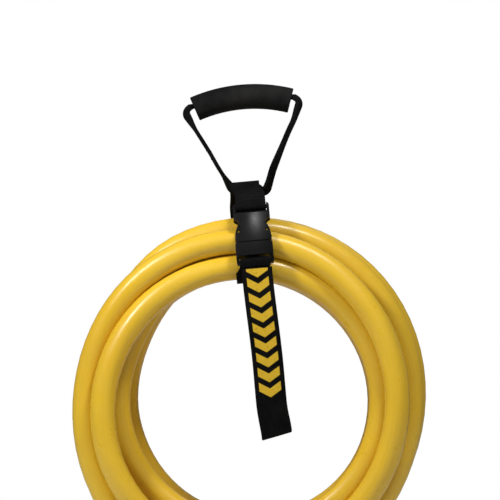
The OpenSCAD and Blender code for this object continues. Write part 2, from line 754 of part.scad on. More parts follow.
pole_degs = [90, 210, 330];
ground_hole_r = 4;
contact_fit = 0.25;
module connector_insert() {
    color(plastic_black) connector_frame() translate([0, 0, nose_z]) difference() {
        cylinder(r = hollow_r - seat, h = insert_h, $fn = fine);
        for (a = pole_degs) translate([0, 0, -1]) linear_extrude(insert_h + 2)
            arc_section(a, contact_r, contact_slot + 2 * contact_fit, slot_arc + 2);
        translate([0, 0, -1]) cylinder(r = ground_hole_r + contact_fit, h = insert_h + 2, $fn = 48);
    }
}

contact_sunk = 5;
leaf_t = 0.8;
root_h = 4;
lug_h = 4;
module contact(deg) {
    color(brass) connector_frame() translate([0, 0, nose_z + contact_sunk]) {
        linear_extrude(insert_h - contact_sunk + 1)
            arc_section(deg, contact_r + (contact_slot - leaf_t) / 2, leaf_t, slot_arc);
        translate([0, 0, insert_h - contact_sunk - root_h]) linear_extrude(root_h + 1)
            arc_section(deg, contact_r, contact_slot, slot_arc);
        rotate([0, 0, deg]) translate([contact_r, 0, insert_h - contact_sunk]) cylinder(r = 3.6, h = lug_h, $fn = 32);
    }
}
lug_top_z = nose_z + insert_h + lug_h;

module contacts_hot() {
    contact(pole_degs[1]);
    contact(pole_degs[2]);
}

module contact_neutral() {
    contact(pole_degs[0]);
}

module contact_ground() {
    color(brass) connector_frame() translate([0, 0, nose_z + contact_sunk]) {
        difference() {
            cylinder(r = ground_hole_r, h = insert_h - contact_sunk + lug_h, $fn = 48);
            translate([0, 0, -1]) cylinder(r = ground_hole_r - 1, h = 19, $fn = 48);
        }
    }
}

// The ring's lip bears on the flange from behind; its thread is at the mouth, with a wider relief above it
lip_h = 4;
ring_top = flange_z + seat + lip_h;
ring_bottom = nose_z - ring_overhang;
thread_top = nose_z - 0.5;
lobes = 16;
module locking_ring() {
    r = ring_d / 2;
    lip_r = connector_r + seat;
    color(plastic_black) connector_frame() difference() {
        rotate_extrude($fn = 96) polygon([[lip_r, ring_top], [r - 4, ring_top], [r, ring_top - 4],
            [r, ring_bottom + 2], [r - 2, ring_bottom], [ring_mouth_r, ring_bottom],
            [ring_mouth_r, thread_top], [ring_mouth_r + 1, thread_top],
            [ring_mouth_r + 1, flange_z + seat], [lip_r, flange_z + seat]]);
        for (a = [0:360 / lobes:359]) rotate([0, 0, a]) translate([r + 2, 0, ring_bottom + 4])
            cylinder(r = 4, h = ring_top - ring_bottom - 9, $fn = 24);
    }
}

module ring_gasket() {
    color([0.16, 0.16, 0.16]) connector_frame() translate([0, 0, flange_z - flange_h - 2.8]) difference() {
        cylinder(r = flange_r, h = 2.8 - 0.1, $fn = fine);
        translate([0, 0, -1]) cylinder(r = connector_r - 0.5 + seat, h = 5, $fn = fine);
    }
}

// ---- Conductors inside the two housings ----
core_d = 6.4;
ground_core_d = 5.4;
core_top = -relief_l - seat;
core_off = 6;

// A round wire through points, with ball corners
module wire(points, d) {
    for (i = [1:len(points) - 1]) {
        a = points[i - 1];
        b = points[i];
        l = norm(b - a);
        translate(a) rotate([0, acos((b.z - a.z) / l), atan2(b.y - a.y, b.x - a.x)])
            cylinder(d = d, h = l, $fn = 24);
    }
    for (i = [1:1:len(points) - 2]) translate(points[i]) sphere(d = d + 0.3, $fn = 24);
}

core_end_x = blade_back_x + 0.2;
module plug_hot_core(side) {
    z = plug_axis_z;
    plug_frame() wire([[1, side * core_off, core_top], [1, side * core_off, z + 26],
        [1, side * hot_y, z + 16], [1, side * hot_y, z], [core_end_x, side * hot_y, z]], core_d);
}

core_ring_r = 8;
module connector_core(deg) {
    foot = contact_r * [cos(deg), sin(deg)];
    head = core_ring_r * [cos(deg), sin(deg)];
    connector_frame() wire([[head.x, head.y, core_top], [head.x, head.y, hollow_top],
        [foot.x, foot.y, hollow_top - 12], [foot.x, foot.y, lug_top_z + 0.2]], core_d);
}

module conductor_black() {
    color([0.06, 0.06, 0.06]) {
        plug_hot_core(-1);
        connector_core(pole_degs[1]);
    }
}

module conductor_red() {
    color([0.7, 0.08, 0.06]) {
        plug_hot_core(1);
        connector_core(pole_degs[2]);
    }
}

module conductor_white() {
    z = plug_axis_z;
    color([0.9, 0.9, 0.88]) {
        plug_frame() wire([[-5, 0, core_top], [-5, 0, z + 30], [0, 0, z + 22], [0, 0, z + neutral_z],
                           [core_end_x, 0, z + neutral_z]], core_d);
        connector_core(pole_degs[0]);
    }
}

module conductor_green() {
    z = plug_axis_z;
    color([0.1, 0.5, 0.2]) {
        plug_frame() wire([[8.5, 0, core_top], [8.5, 0, z + ground_z], [core_end_x, 0, z + ground_z]],
                          ground_core_d);
        connector_frame() wire([[0, 0, core_top], [0, 0, lug_top_z + 0.2]], ground_core_d);
    }
}

grip_sleeve();
handle_webbing();
handle_stitching();
loop_strap();
strap_stitching();
strap_tail();
buckle_female();
buckle_male();
prong_left();
prong_right();
cord_coil();
cord_plug_end();
cord_connector_end();
plug_strain_relief();
plug_body();
plug_face();
blade_hot_x();
blade_hot_y();
blade_neutral();
ground_pin();
plug_screws();
connector_strain_relief();
connector_body();
connector_insert();
contacts_hot();
contact_neutral();
contact_ground();
locking_ring();
ring_gasket();
conductor_black();
conductor_red();
conductor_white();
conductor_green();
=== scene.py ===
# %% [markdown]
# # Shore power cord in its carrying strap
# A heavy yellow cord is wound into a coil and hangs from a webbing strap with a side release buckle and a hand grip.
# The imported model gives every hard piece, in metres: +Z is up, +X is to the right and +Y goes away from the viewer.
# The origin is the middle of the grip. Soft pieces are made here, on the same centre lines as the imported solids.

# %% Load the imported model
import math
import bpy
import bmesh
from mathutils import Matrix, Vector


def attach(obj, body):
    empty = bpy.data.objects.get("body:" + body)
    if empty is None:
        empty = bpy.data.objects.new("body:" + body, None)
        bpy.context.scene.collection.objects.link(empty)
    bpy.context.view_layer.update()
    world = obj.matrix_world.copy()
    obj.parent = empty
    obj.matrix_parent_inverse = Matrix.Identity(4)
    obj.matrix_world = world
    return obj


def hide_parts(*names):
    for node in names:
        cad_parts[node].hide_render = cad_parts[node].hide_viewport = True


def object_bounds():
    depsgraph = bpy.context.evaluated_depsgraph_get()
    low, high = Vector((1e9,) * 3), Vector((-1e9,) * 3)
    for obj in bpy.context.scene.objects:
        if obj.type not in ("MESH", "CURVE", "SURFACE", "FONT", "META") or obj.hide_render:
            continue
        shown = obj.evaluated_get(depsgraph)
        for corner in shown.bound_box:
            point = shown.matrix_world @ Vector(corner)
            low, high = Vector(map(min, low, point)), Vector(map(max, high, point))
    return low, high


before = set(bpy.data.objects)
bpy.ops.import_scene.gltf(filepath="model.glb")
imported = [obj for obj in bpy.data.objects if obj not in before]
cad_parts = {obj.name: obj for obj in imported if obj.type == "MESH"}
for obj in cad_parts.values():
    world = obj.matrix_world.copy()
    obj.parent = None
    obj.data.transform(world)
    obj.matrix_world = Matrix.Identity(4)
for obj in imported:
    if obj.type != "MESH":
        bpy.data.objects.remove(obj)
cad_low, cad_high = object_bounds()
print("packed model from", [round(v, 3) for v in cad_low], "to", [round(v, 3) for v in cad_high])

MM = 0.001

# %% [markdown]
# ## Camera, floor and light
# A long lens from far away shows a thing in its true proportions, because nothing looks larger for being nearer. So the
# camera stands 3 m in front and sees half a metre. Two small soft lights, high at the left and the right, draw a
# highlight along each turn of the cord. A wide weak light fills the shadows in front, and another one lights the back.
# The surround could be one brightness, but then it greys the black webbing. So it's white to the camera, much dimmer
# as a light, and dimmest where it's mirrored.

# %% Camera
CAMERA_AWAY = 3.0
FIELD = 0.5
SENSOR = 36.0
VIEW_X, VIEW_Z = 0.008, -0.153

camera = bpy.data.objects.new("camera", bpy.data.cameras.new("camera"))
camera.location = (VIEW_X, -CAMERA_AWAY, VIEW_Z)
camera.rotation_euler = (math.radians(90), 0, 0)
camera.data.sensor_width = SENSOR
camera.data.lens = SENSOR * CAMERA_AWAY / FIELD
bpy.context.scene.collection.objects.link(camera)
bpy.context.scene.camera = camera
print("lens", round(camera.data.lens), "mm")

# %% Floor
FLOOR_BELOW = 0.03
FLOOR_R = 2.4
FLOOR_PAINT = {"Base Color": (0.82, 0.82, 0.82, 1), "Roughness": 0.8, "Emission Color": (1, 1, 1, 1),
               "Emission Strength": 0.13}

floor_mesh = bpy.data.meshes.new("floor")
floor_bm = bmesh.new()
bmesh.ops.create_circle(floor_bm, cap_ends=True, segments=96, radius=FLOOR_R,
                        matrix=Matrix.Translation((0, 0, cad_low[2] - FLOOR_BELOW)))
floor_bm.to_mesh(floor_mesh)
floor_bm.free()
floor = bpy.data.objects.new("floor", floor_mesh)
bpy.context.scene.collection.objects.link(floor)
floor_paint = bpy.data.materials.new("pale floor")
floor_paint.use_nodes = True
for socket, value in FLOOR_PAINT.items():
    floor_paint.node_tree.nodes["Principled BSDF"].inputs[socket].default_value = value
floor_mesh.materials.append(floor_paint)
print("floor", FLOOR_BELOW, "m below the cord's connector")

# %% Lights
def soft_light(name, place, aim, size, power):
    """One square area light that faces a point."""
    data = bpy.data.lights.new(name, "AREA")
    data.size = size
    data.energy = power
    light = bpy.data.objects.new(name, data)
    light.location = place
    light.rotation_euler = (Vector(aim) - Vector(place)).to_track_quat("-Z", "Y").to_euler()
    bpy.context.scene.collection.objects.link(light)
    return light

BUNDLE_MIDDLE = (0.0, 0.0, -0.28)
soft_light("key light", (-0.66, -0.58, 0.48), BUNDLE_MIDDLE, 0.17, 7.9)
soft_light("side light", (0.26, -0.46, 0.68), BUNDLE_MIDDLE, 0.17, 5.6)
soft_light("front fill", (0.3, -1.9, 1.1), BUNDLE_MIDDLE, 1.6, 3.6)
soft_light("back light", (0.4, 1.9, 1.2), BUNDLE_MIDDLE, 1.4, 2.5)

# %% Surround
BRIGHT_TO_CAMERA = 1.0
BRIGHT_AS_LIGHT = 0.225
BRIGHT_MIRRORED = 0.11

surround = bpy.data.worlds.new("surround")
surround.use_nodes = True
air = surround.node_tree
air.nodes["Background"].inputs["Color"].default_value = (1, 1, 1, 1)
ray = air.nodes.new("ShaderNodeLightPath")
dimmed = air.nodes.new("ShaderNodeMapRange")
dimmed.inputs["To Min"].default_value = BRIGHT_AS_LIGHT
dimmed.inputs["To Max"].default_value = BRIGHT_MIRRORED
air.links.new(ray.outputs["Is Glossy Ray"], dimmed.inputs["Value"])
brightness = air.nodes.new("ShaderNodeMapRange")
air.links.new(dimmed.outputs["Result"], brightness.inputs["To Min"])
brightness.inputs["To Max"].default_value = BRIGHT_TO_CAMERA
air.links.new(ray.outputs["Is Camera Ray"], brightness.inputs["Value"])
air.links.new(brightness.outputs["Result"], air.nodes["Background"].inputs["Strength"])
bpy.context.scene.world = surround
bpy.context.scene.view_settings.view_transform = "Standard"

# %% [markdown]
# ## The cord
# A 50 A cord is as thick as a thumb and stiff, so it winds into wide turns that lie beside and on each other. The coil
# has four layers from front to back. Each layer spirals in or out by two turns and then climbs to the next, so the
# whole cord is one unbroken line. It could be a mesh swept with bmesh, but a poly curve with a round bevel keeps its
# line, and gives it a map that runs along the cord for the jacket's pattern.

# %% The coil's centre line
CORD_D = 25.0
PITCH = 25.5
LAYERS = 4
LAYER_TURNS = 2
CLIMB_TURNS = 0.5
LEAVE_DEG = 210
BOTTOM_DEG = 270
LEAD = (BOTTOM_DEG - LEAVE_DEG) / 360
FIRST_REVERSAL = LAYER_TURNS - LEAD
COIL_TURNS = LAYERS * LAYER_TURNS - 2 * LEAD
INNER_R = 119.0
SAG = 7.0
DROOP = 6.0
COIL_X = 4.0
COIL_DROP = 303.0
COIL_Y0 = -(LAYERS - 1) / 2 * PITCH

def eased(x):
    """From 0 to 1 with a soft start and a soft end."""
    x = min(1.0, max(0.0, x))
    return x * x * (3 - 2 * x)

def layer_at(turn):
    """Which layer the cord is in, from 0 at the front to 3 at the back."""
    return sum(eased((turn - FIRST_REVERSAL - i * LAYER_TURNS) / CLIMB_TURNS + 0.5) for i in range(LAYERS - 1))

# Shifts of single stretches: (turn at its middle, half length in turns, outwards, towards the viewer), in mm
SHIFTS = [(0.10, 0.12, -2.0, 0.0), (0.583, 0.28, 0.6, 22.0), (1.05, 0.26, 5.5, 19.0), (1.583, 0.29, 11.6, 0.0),
          (2.17, 0.12, -5.5, 0.0), (2.63, 0.14, -2.6, 0.0), (3.17, 0.10, -6.0, 0.0), (3.63, 0.14, -2.6, 0.0),
          (4.61, 0.27, 12.5, 0.0), (5.61, 0.27, 12.5, 0.0), (6.083, 0.27, -6.0, 0.0), (6.17, 0.12, -4.0, 0.0),
          (7.13, 0.14, -11.0, -16.0), (7.50, 0.20, 5.0, 0.0)]

def shift_at(turn):
    """How far the cord lies off the even spiral, outwards and towards the viewer."""
    out = forward = 0.0
    for middle, half, shift_out, shift_forward in SHIFTS:
        near = (turn - middle) / half
        if abs(near) < 1:
            weight = math.cos(near * math.pi / 2) ** 2
            out += weight * shift_out
            forward += weight * shift_forward
    return out, forward

def coil_point(turn):
    """The middle of the cord, in mm, a number of turns from the plug's end."""
    angle = math.radians(LEAVE_DEG - 360 * turn)
    layer = layer_at(turn)
    from_inside = abs((turn + LEAD) % (2 * LAYER_TURNS) - LAYER_TURNS)
    out, forward = shift_at(turn)
    r = INNER_R + PITCH * from_inside - DROOP * math.cos(math.pi * layer) * (1 + math.sin(angle)) / 2 + out
    return Vector((COIL_X + r * math.cos(angle), COIL_Y0 + layer * PITCH - forward,
                   -COIL_DROP + (r + SAG) * math.sin(angle)))

# %% The whole route, from the plug round the coil to the connector
# The free ends' points, in mm outwards and up from where they leave the coil
END_STEPS = [(6, -12), (10, -25), (13, -38), (14, -53), (14, -78), (14, -103), (14, -128), (14, -150)]
RINGS_PER_TURN = 72

def straight_on(at, before, far):
    """The point at which a line that comes from before goes on past at."""
    return at + (at - before).normalized() * far

coil_steps = round(COIL_TURNS * RINGS_PER_TURN)
coil_line = [coil_point(i * COIL_TURNS / coil_steps) for i in range(coil_steps + 1)]
coil_start = straight_on(coil_line[0], coil_line[1], CORD_D)
coil_end = straight_on(coil_line[-1], coil_line[-2], CORD_D)
plug_run = [coil_start + Vector((x, 0, z)) for x, z in END_STEPS]
connector_run = [coil_end + Vector((-x, 0, z)) for x, z in END_STEPS]
route = [*reversed(plug_run), coil_start, *coil_line, coil_end, *connector_run]
route_length = sum((b - a).length for a, b in zip(route, route[1:])) * MM
print("cord", round(route_length, 3), "m in", len(route), "points")

# %% The cord's body
def bevelled_line(name, points, radius, smooth_steps=3):
    """A round bar along points in mm, as one open poly spline."""
    line = bpy.data.curves.new(name, "CURVE")
    line.dimensions = "3D"
    line.bevel_depth = 1.0
    line.bevel_resolution = smooth_steps
    line.use_fill_caps = True
    spline = line.splines.new("POLY")
    spline.points.add(len(points) - 1)
    for spot, p in zip(spline.points, points):
        spot.co, spot.radius = (*(p * MM), 1), radius * MM
    spline.use_smooth = True
    piece = bpy.data.objects.new(name, line)
    bpy.context.scene.collection.objects.link(piece)
    return piece

cord = bevelled_line("cord", route, CORD_D / 2, smooth_steps=5)
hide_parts("cord_coil", "cord_plug_end", "cord_connector_end")
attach(cord, "bundle")

# %% [markdown]
# ## Helpers for finishes
# Every finish starts from a Principled shader. What is the same all over is typed on the shader's sockets, and what
# changes over the surface comes from noise, waves or the piece's own UV map. Effects that several finishes share, such
# as rubbed edges and fine dust, are node groups, so that they are wired once and tuned for each piece.

# %% Small wiring helpers
def new_finish(name, **sockets):
    """A material with its shader's constant sockets set. Socket names use _ for a space."""
    finish = bpy.data.materials.new(name)
    finish.use_nodes = True
    shader = finish.node_tree.nodes["Principled BSDF"]
    for socket, value in sockets.items():
        shader.inputs[socket.replace("_", " ")].default_value = (*value, 1) if isinstance(value, tuple) else value
    return finish, finish.node_tree, shader

def add(tree, kind, **settings):
    """One node, with its settings, and with sockets given as name=value through 'sockets'."""
    node = tree.nodes.new(kind)
    for socket, value in settings.pop("sockets", {}).items():
        node.inputs[socket].default_value = value
    for key, value in settings.items():
        setattr(node, key, value)
    return node

def math_node(tree, operation, first, second=None, clamp=False):
    """A Math node whose inputs are numbers or other nodes' sockets."""
    node = add(tree, "ShaderNodeMath", operation=operation, use_clamp=clamp)
    for socket, value in zip(node.inputs, (first, second)):
        if value is None:
            continue
        if isinstance(value, (int, float)):
            socket.default_value = value
        else:
            tree.links.new(value, socket)
    return node.outputs[0]

def mixed(tree, amount, first, second):
    """A colour between two, each a colour tuple or a socket."""
    node = add(tree, "ShaderNodeMix", data_type="RGBA")
    for socket, value in zip((node.inputs[0], node.inputs[6], node.inputs[7]), (amount, first, second)):
        if isinstance(value, tuple):
            socket.default_value = (*value, 1)
        elif isinstance(value, (int, float)):
            socket.default_value = value
        else:
            tree.links.new(value, socket)
    return node.outputs[2]

def ranged(tree, value, low, high, to_low, to_high):
    """Stretches a value from one range to another."""
    node = add(tree, "ShaderNodeMapRange",
               sockets={"From Min": low, "From Max": high, "To Min": to_low, "To Max": to_high})
    tree.links.new(value, node.inputs["Value"])
    return node.outputs["Result"]

def noise(tree, vector, scale, detail=2.0, roughness=0.5):
    """Soft noise, mostly from 0.3 to 0.7."""
    node = add(tree, "ShaderNodeTexNoise", sockets={"Scale": scale, "Detail": detail, "Roughness": roughness})
    tree.links.new(vector, node.inputs["Vector"])
    return node.outputs["Fac"]

def bump(tree, shader, height, depth_mm, strength=1.0, first=None):
    """Feeds a height from 0 to 1 to the shader as a bump of that depth."""
    node = add(tree, "ShaderNodeBump", sockets={"Strength": strength, "Distance": depth_mm * MM})
    tree.links.new(height, node.inputs["Height"])
    if first is not None:
        tree.links.new(first, node.inputs["Normal"])
    tree.links.new(node.outputs["Normal"], shader.inputs["Normal"])
    return node.outputs["Normal"]

def object_place(tree):
    """The place on the piece in metres, which rides with it."""
    return add(tree, "ShaderNodeTexCoord").outputs["Object"]

# %% Group: edge wear
def make_edge_wear():
    """1 on sharp outer edges that hands and hooks rub, broken up by noise, and 0 elsewhere."""
    group = bpy.data.node_groups.new("edge wear", "ShaderNodeTree")
    group.interface.new_socket("Vector", in_out="INPUT", socket_type="NodeSocketVector")
    width = group.interface.new_socket("Width", in_out="INPUT", socket_type="NodeSocketFloat")
    width.default_value = 0.0006
    group.interface.new_socket("Wear", in_out="OUTPUT", socket_type="NodeSocketFloat")
    start = group.nodes.new("NodeGroupInput")
    end = group.nodes.new("NodeGroupOutput")
    rounded = add(group, "ShaderNodeBevel", samples=4)
    group.links.new(start.outputs["Width"], rounded.inputs["Radius"])
    flat = add(group, "ShaderNodeNewGeometry")
    across = add(group, "ShaderNodeVectorMath", operation="DOT_PRODUCT")
    group.links.new(rounded.outputs["Normal"], across.inputs[0])
    group.links.new(flat.outputs["Normal"], across.inputs[1])
    edge = ranged(group, across.outputs["Value"], 0.995, 0.80, 0.0, 1.0)
    rubbed = ranged(group, noise(group, start.outputs["Vector"], 260.0, 3.0), 0.42, 0.62, 0.15, 1.0)
    group.links.new(math_node(group, "MULTIPLY", edge, rubbed, clamp=True), end.inputs["Wear"])
    return group

edge_wear = make_edge_wear()

# %% Group: fine dust and handling marks
def make_handling():
    """A slow cloud of dust and a fine scatter of small marks, both from 0 to 1."""
    group = bpy.data.node_groups.new("handling marks", "ShaderNodeTree")
    group.interface.new_socket("Vector", in_out="INPUT", socket_type="NodeSocketVector")
    group.interface.new_socket("Dust", in_out="OUTPUT", socket_type="NodeSocketFloat")
    group.interface.new_socket("Marks", in_out="OUTPUT", socket_type="NodeSocketFloat")
    start = group.nodes.new("NodeGroupInput")
    end = group.nodes.new("NodeGroupOutput")
    cloud = ranged(group, noise(group, start.outputs["Vector"], 22.0, 4.0, 0.6), 0.40, 0.72, 0.0, 1.0)
    group.links.new(cloud, end.inputs["Dust"])
    fine = ranged(group, noise(group, start.outputs["Vector"], 900.0, 2.0), 0.60, 0.72, 0.0, 1.0)
    group.links.new(fine, end.inputs["Marks"])
    return group

handling = make_handling()

def grouped(tree, group, vector, **sockets):
    """One placed node group, with its own values."""
    node = add(tree, "ShaderNodeGroup", node_tree=group)
    tree.links.new(vector, node.inputs["Vector"])
    for socket, value in sockets.items():
        node.inputs[socket].default_value = value
    return node

# %% [markdown]
# ## Finish of the cord's jacket
# The jacket is a soft yellow plastic. It's extruded, so it has faint lines along it, a slightly uneven sheen, and a
# darker, rubbed film of dirt where it has been dragged. The cores inside are twisted, which shows as a slow helical
# swell. The curve's own UV map runs along and round the cord, so the lines follow it through every turn.

# %% Jacket
LINES_PER_M = 1.5
LINES_ROUND = 26.0
CORE_LAY_M = 0.16
CORES = 4

def make_jacket(length_m):
    """Yellow jacket with drawn lines, a slow change of colour, dirt, and the swell of the cores' lay."""
    finish, tree, shader = new_finish("yellow cord jacket", Specular_IOR_Level=0.5)
    place = object_place(tree)
    marks = grouped(tree, handling, place)
    run = add(tree, "ShaderNodeUVMap")
    split = add(tree, "ShaderNodeSeparateXYZ")
    tree.links.new(run.outputs["UV"], split.inputs[0])
    along = math_node(tree, "MULTIPLY", split.outputs["X"], length_m)
    lines_at = add(tree, "ShaderNodeCombineXYZ")
    tree.links.new(math_node(tree, "MULTIPLY", along, LINES_PER_M), lines_at.inputs["X"])
    tree.links.new(math_node(tree, "MULTIPLY", split.outputs["Y"], LINES_ROUND), lines_at.inputs["Y"])
    lines = noise(tree, lines_at.outputs[0], 1.0, 3.0, 0.6)
    slow = noise(tree, place, 9.0, 2.0)
    warm = mixed(tree, ranged(tree, slow, 0.3, 0.7, 0.0, 1.0), (0.74, 0.455, 0.020), (0.82, 0.525, 0.030))
    lined = mixed(tree, ranged(tree, lines, 0.35, 0.75, 0.0, 0.28), warm, (0.60, 0.352, 0.018))
    dusty = mixed(tree, math_node(tree, "MULTIPLY", marks.outputs["Dust"], 0.10), lined, (0.52, 0.36, 0.10))
    speckled = mixed(tree, math_node(tree, "MULTIPLY", marks.outputs["Marks"], 0.10), dusty, (0.35, 0.22, 0.05))
    tree.links.new(speckled, shader.inputs["Base Color"])
    tree.links.new(ranged(tree, noise(tree, place, 70.0, 4.0), 0.3, 0.7, 0.26, 0.40), shader.inputs["Roughness"])
    laid = math_node(tree, "MULTIPLY", along, 2 * math.pi / CORE_LAY_M)
    round_it = math_node(tree, "MULTIPLY", split.outputs["Y"], 2 * math.pi * CORES)
    twist = math_node(tree, "SINE", math_node(tree, "ADD", laid, round_it))
    swell = bump(tree, shader, ranged(tree, twist, -1.0, 1.0, 0.0, 1.0), 0.35, 0.8)
    fine = bump(tree, shader, lines, 0.10, 0.7, swell)
    bump(tree, shader, noise(tree, place, 1400.0, 2.0), 0.02, 0.5, fine)
    return finish

jacket = make_jacket(route_length)
cord.data.materials.append(jacket)
print("jacket on", cord.name)

# %% [markdown]
# ## Webbing
# The strap and the handle are flat woven webbing, 30 mm wide and 1.7 mm thick. Webbing could be a swept curve, but a
# strip that is pulled out of a line keeps the weave's map simple: the line is the strap's side view, it's extruded
# across the strap's width, given a thickness by Solidify and its edges are rounded by Bevel. The strap leans by five
# degrees, so its points are worked out upright and then turned about the grip.

# %% The leaning frame of the strap
STRAP_LEAN = 5.0
STRAP_U = -1.0
WEB_W = 30.0
WEB_T = 1.7
lean = Matrix.Rotation(math.radians(-STRAP_LEAN), 4, "Y")

def upright(p):
    """A world point in mm, seen in the strap's upright frame."""
    return lean.inverted() @ p

def heading(a, b):
    """Direction of the tangent from circle a to circle b, each (y, z, radius, turn)."""
    dy, dz = b[0] - a[0], b[1] - a[1]
    return math.atan2(dz, dy) + math.asin((a[3] * a[2] - b[3] * b[2]) / math.hypot(dy, dz))

def round_circle(c, heading_in, heading_out, step_deg=7.5):
    """The line's points where it lies on one circle."""
    by = (heading_out - heading_in) % (2 * math.pi)
    if c[3] < 0:
        by -= 2 * math.pi
    steps = max(1, math.ceil(abs(math.degrees(by)) / step_deg))
    return [(c[0] + c[3] * c[2] * math.sin(heading_in + by * k / steps),
             c[1] - c[3] * c[2] * math.cos(heading_in + by * k / steps)) for k in range(steps + 1)]

def wrapped(circles):
    """A belt's line round circles, from the first centre to the last, as (y, z) points."""
    line = [circles[0][:2]]
    for before, c, after in zip(circles, circles[1:], circles[2:]):
        line += round_circle(c, heading(before, c), heading(c, after))
    return line + [circles[-1][:2]]

def closer(line, step):
    """The same line with points no further apart than a step."""
    out = [line[0]]
    for a, b in zip(line, line[1:]):
        far = math.dist(a, b)
        parts = max(1, math.ceil(far / step))
        out += [tuple(a[i] + (b[i] - a[i]) * k / parts for i in range(len(a))) for k in range(1, parts + 1)]
    return out

# %% Weave a strip from its side line
def strip(name, line, halves, place, thickness=WEB_T, slices=12, bevel_width=0.35):
    """Pulls a line out across a width, maps it in mm, and gives it a thickness. Halves are half the
    width at each of the line's points, and place(u, y, z, s) puts a point at s along the strip."""
    shape = bmesh.new()
    along = shape.verts.layers.float.new("along")
    half = shape.verts.layers.float.new("half")
    steps = [0.0]
    for a, b in zip(line, line[1:]):
        steps.append(steps[-1] + math.dist(a, b))
    row = [shape.verts.new((0, *p)) for p in line]
    for v, s, wide in zip(row, steps, halves):
        v[along], v[half] = s, wide
    edges = [shape.edges.new(pair) for pair in zip(row, row[1:])]
    for _ in range(slices):
        pulled = set(bmesh.ops.extrude_edge_only(shape, edges=edges)["geom"])
        edges = [e for e in pulled if isinstance(e, bmesh.types.BMEdge) and set(e.verts) <= pulled
                 and abs(e.verts[0].co.x - e.verts[1].co.x) < 0.5]
        bmesh.ops.translate(shape, vec=(1, 0, 0), verts=[v for v in pulled if isinstance(v, bmesh.types.BMVert)])
    weave_map = shape.loops.layers.uv.new("run")
    for face in shape.faces:
        for loop in face.loops:
            v = loop.vert
            loop[weave_map].uv = (v[along], (2 * v.co.x / slices - 1) * v[half])
    for v in shape.verts:
        v.co = place((2 * v.co.x / slices - 1) * v[half], v.co.y, v.co.z, v[along]) * MM
    bmesh.ops.recalc_face_normals(shape, faces=shape.faces)
    mesh = bpy.data.meshes.new(name)
    shape.to_mesh(mesh)
    shape.free()
    mesh.shade_smooth()
    piece = bpy.data.objects.new(name, mesh)
    bpy.context.scene.collection.objects.link(piece)
    wall = piece.modifiers.new("thickness", "SOLIDIFY")
    wall.thickness = thickness * MM
    wall.offset = 0
    wall.use_even_offset = True
    soft = piece.modifiers.new("soft edges", "BEVEL")
    soft.width = bevel_width * MM
    soft.segments = 2
    soft.limit_method = "ANGLE"
    soft.angle_limit = math.radians(50)
    return piece, steps[-1]

# %% [markdown]
# ## The loop strap
# The strap's end is sewn to itself round the buckle's upper bar. From there it goes up over the folded handle webbing,
# down behind the coil, under the inner turns and up to the male half's bar, which it goes round. Its line could be
# drawn point by point, but a belt round circles fits at once: the bars, the folded webbing and the cord's turns.

# %% Where the strap touches
HANDLE_DROP = 91.8
HANDLE_T = 3.6
FOLD_HALF = 4.5
FOLD_ROOM = 0.9
SEAT = 0.3
STRAP_SLACK = 5.6
CROSS_DEG = 86.5
BAR_R = 2.0
MALE_BAR_R = 2.5
BUCKLE_T = 10.0
BUCKLE_TILT = math.radians(22)
FEMALE_L = 32.5
MALE_L = 14.0
SLOT_H = 3.4
PARTING_BELOW = 8.0
BUCKLE_GAP = 0.5

def plain_coil_point(turn):
    """The coil's line without the hand-set shifts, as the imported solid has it."""
    out, forward = shift_at(turn)
    angle = math.radians(LEAVE_DEG - 360 * turn)
    return coil_point(turn) - Vector((out * math.cos(angle), -forward, out * math.sin(angle)))

def crossing(turn):
    """Where the cord crosses the strap, as y and z in the strap's frame."""
    p = upright(plain_coil_point((LEAVE_DEG - CROSS_DEG) / 360 + turn))
    return p.y, p.z

front_outer, front_inner, third_inner = crossing(0), crossing(1), crossing(5)
back_inner, back_outer = crossing(6), crossing(7)
out_y, out_z = -math.cos(BUCKLE_TILT), math.sin(BUCKLE_TILT)
along_y, along_z = math.sin(BUCKLE_TILT), math.cos(BUCKLE_TILT)
stand_off = CORD_D / 2 + BUCKLE_GAP + BUCKLE_T / 2
buckle_at = (front_outer[0] + stand_off * out_y - PARTING_BELOW * along_y,
             front_outer[1] + stand_off * out_z - PARTING_BELOW * along_z)

def on_buckle(z):
    """y and z of a point up the buckle's middle, from where its halves part."""
    return buckle_at[0] + z * along_y, buckle_at[1] + z * along_z

female_bar = on_buckle(FEMALE_L + SLOT_H + BAR_R)
male_bar = on_buckle(-(MALE_L + SLOT_H + MALE_BAR_R))
apex_r = math.hypot(FOLD_HALF, HANDLE_T / 2) + FOLD_ROOM + WEB_T / 2
round_r = CORD_D / 2 + STRAP_SLACK + WEB_T / 2
bar_wrap_r = BAR_R + SEAT + WEB_T / 2
male_wrap_r = MALE_BAR_R + SEAT + WEB_T / 2
print("buckle bars at", [round(v, 1) for v in female_bar], [round(v, 1) for v in male_bar])

# %% The strap's line and body
DOUBLED_L = 20.0
LAYER_GAP = 1.9
TAIL_BELOW_BAR = 2.0
STRAP_STEP = 6.0
up_run = Vector((-female_bar[0], -HANDLE_DROP - female_bar[1])).normalized()
fold_end = (female_bar[0] + DOUBLED_L * up_run.x - LAYER_GAP * up_run.y,
            female_bar[1] + DOUBLED_L * up_run.y + LAYER_GAP * up_run.x)
tail_y = male_bar[0] - male_wrap_r
tail_top = male_bar[1] - MALE_BAR_R - TAIL_BELOW_BAR
strap_line = closer(wrapped([
    (*fold_end, 0, -1), (*female_bar, bar_wrap_r, -1), (0, -HANDLE_DROP, apex_r, -1), (*back_outer, round_r, -1),
    (*back_inner, round_r, -1), (*third_inner, round_r, -1), (*front_inner, round_r, -1),
    (*male_bar, male_wrap_r, 1), (tail_y, tail_top, 0, 1)]), STRAP_STEP)
strap_run = sum(math.dist(a, b) for a, b in zip(strap_line, strap_line[1:]))

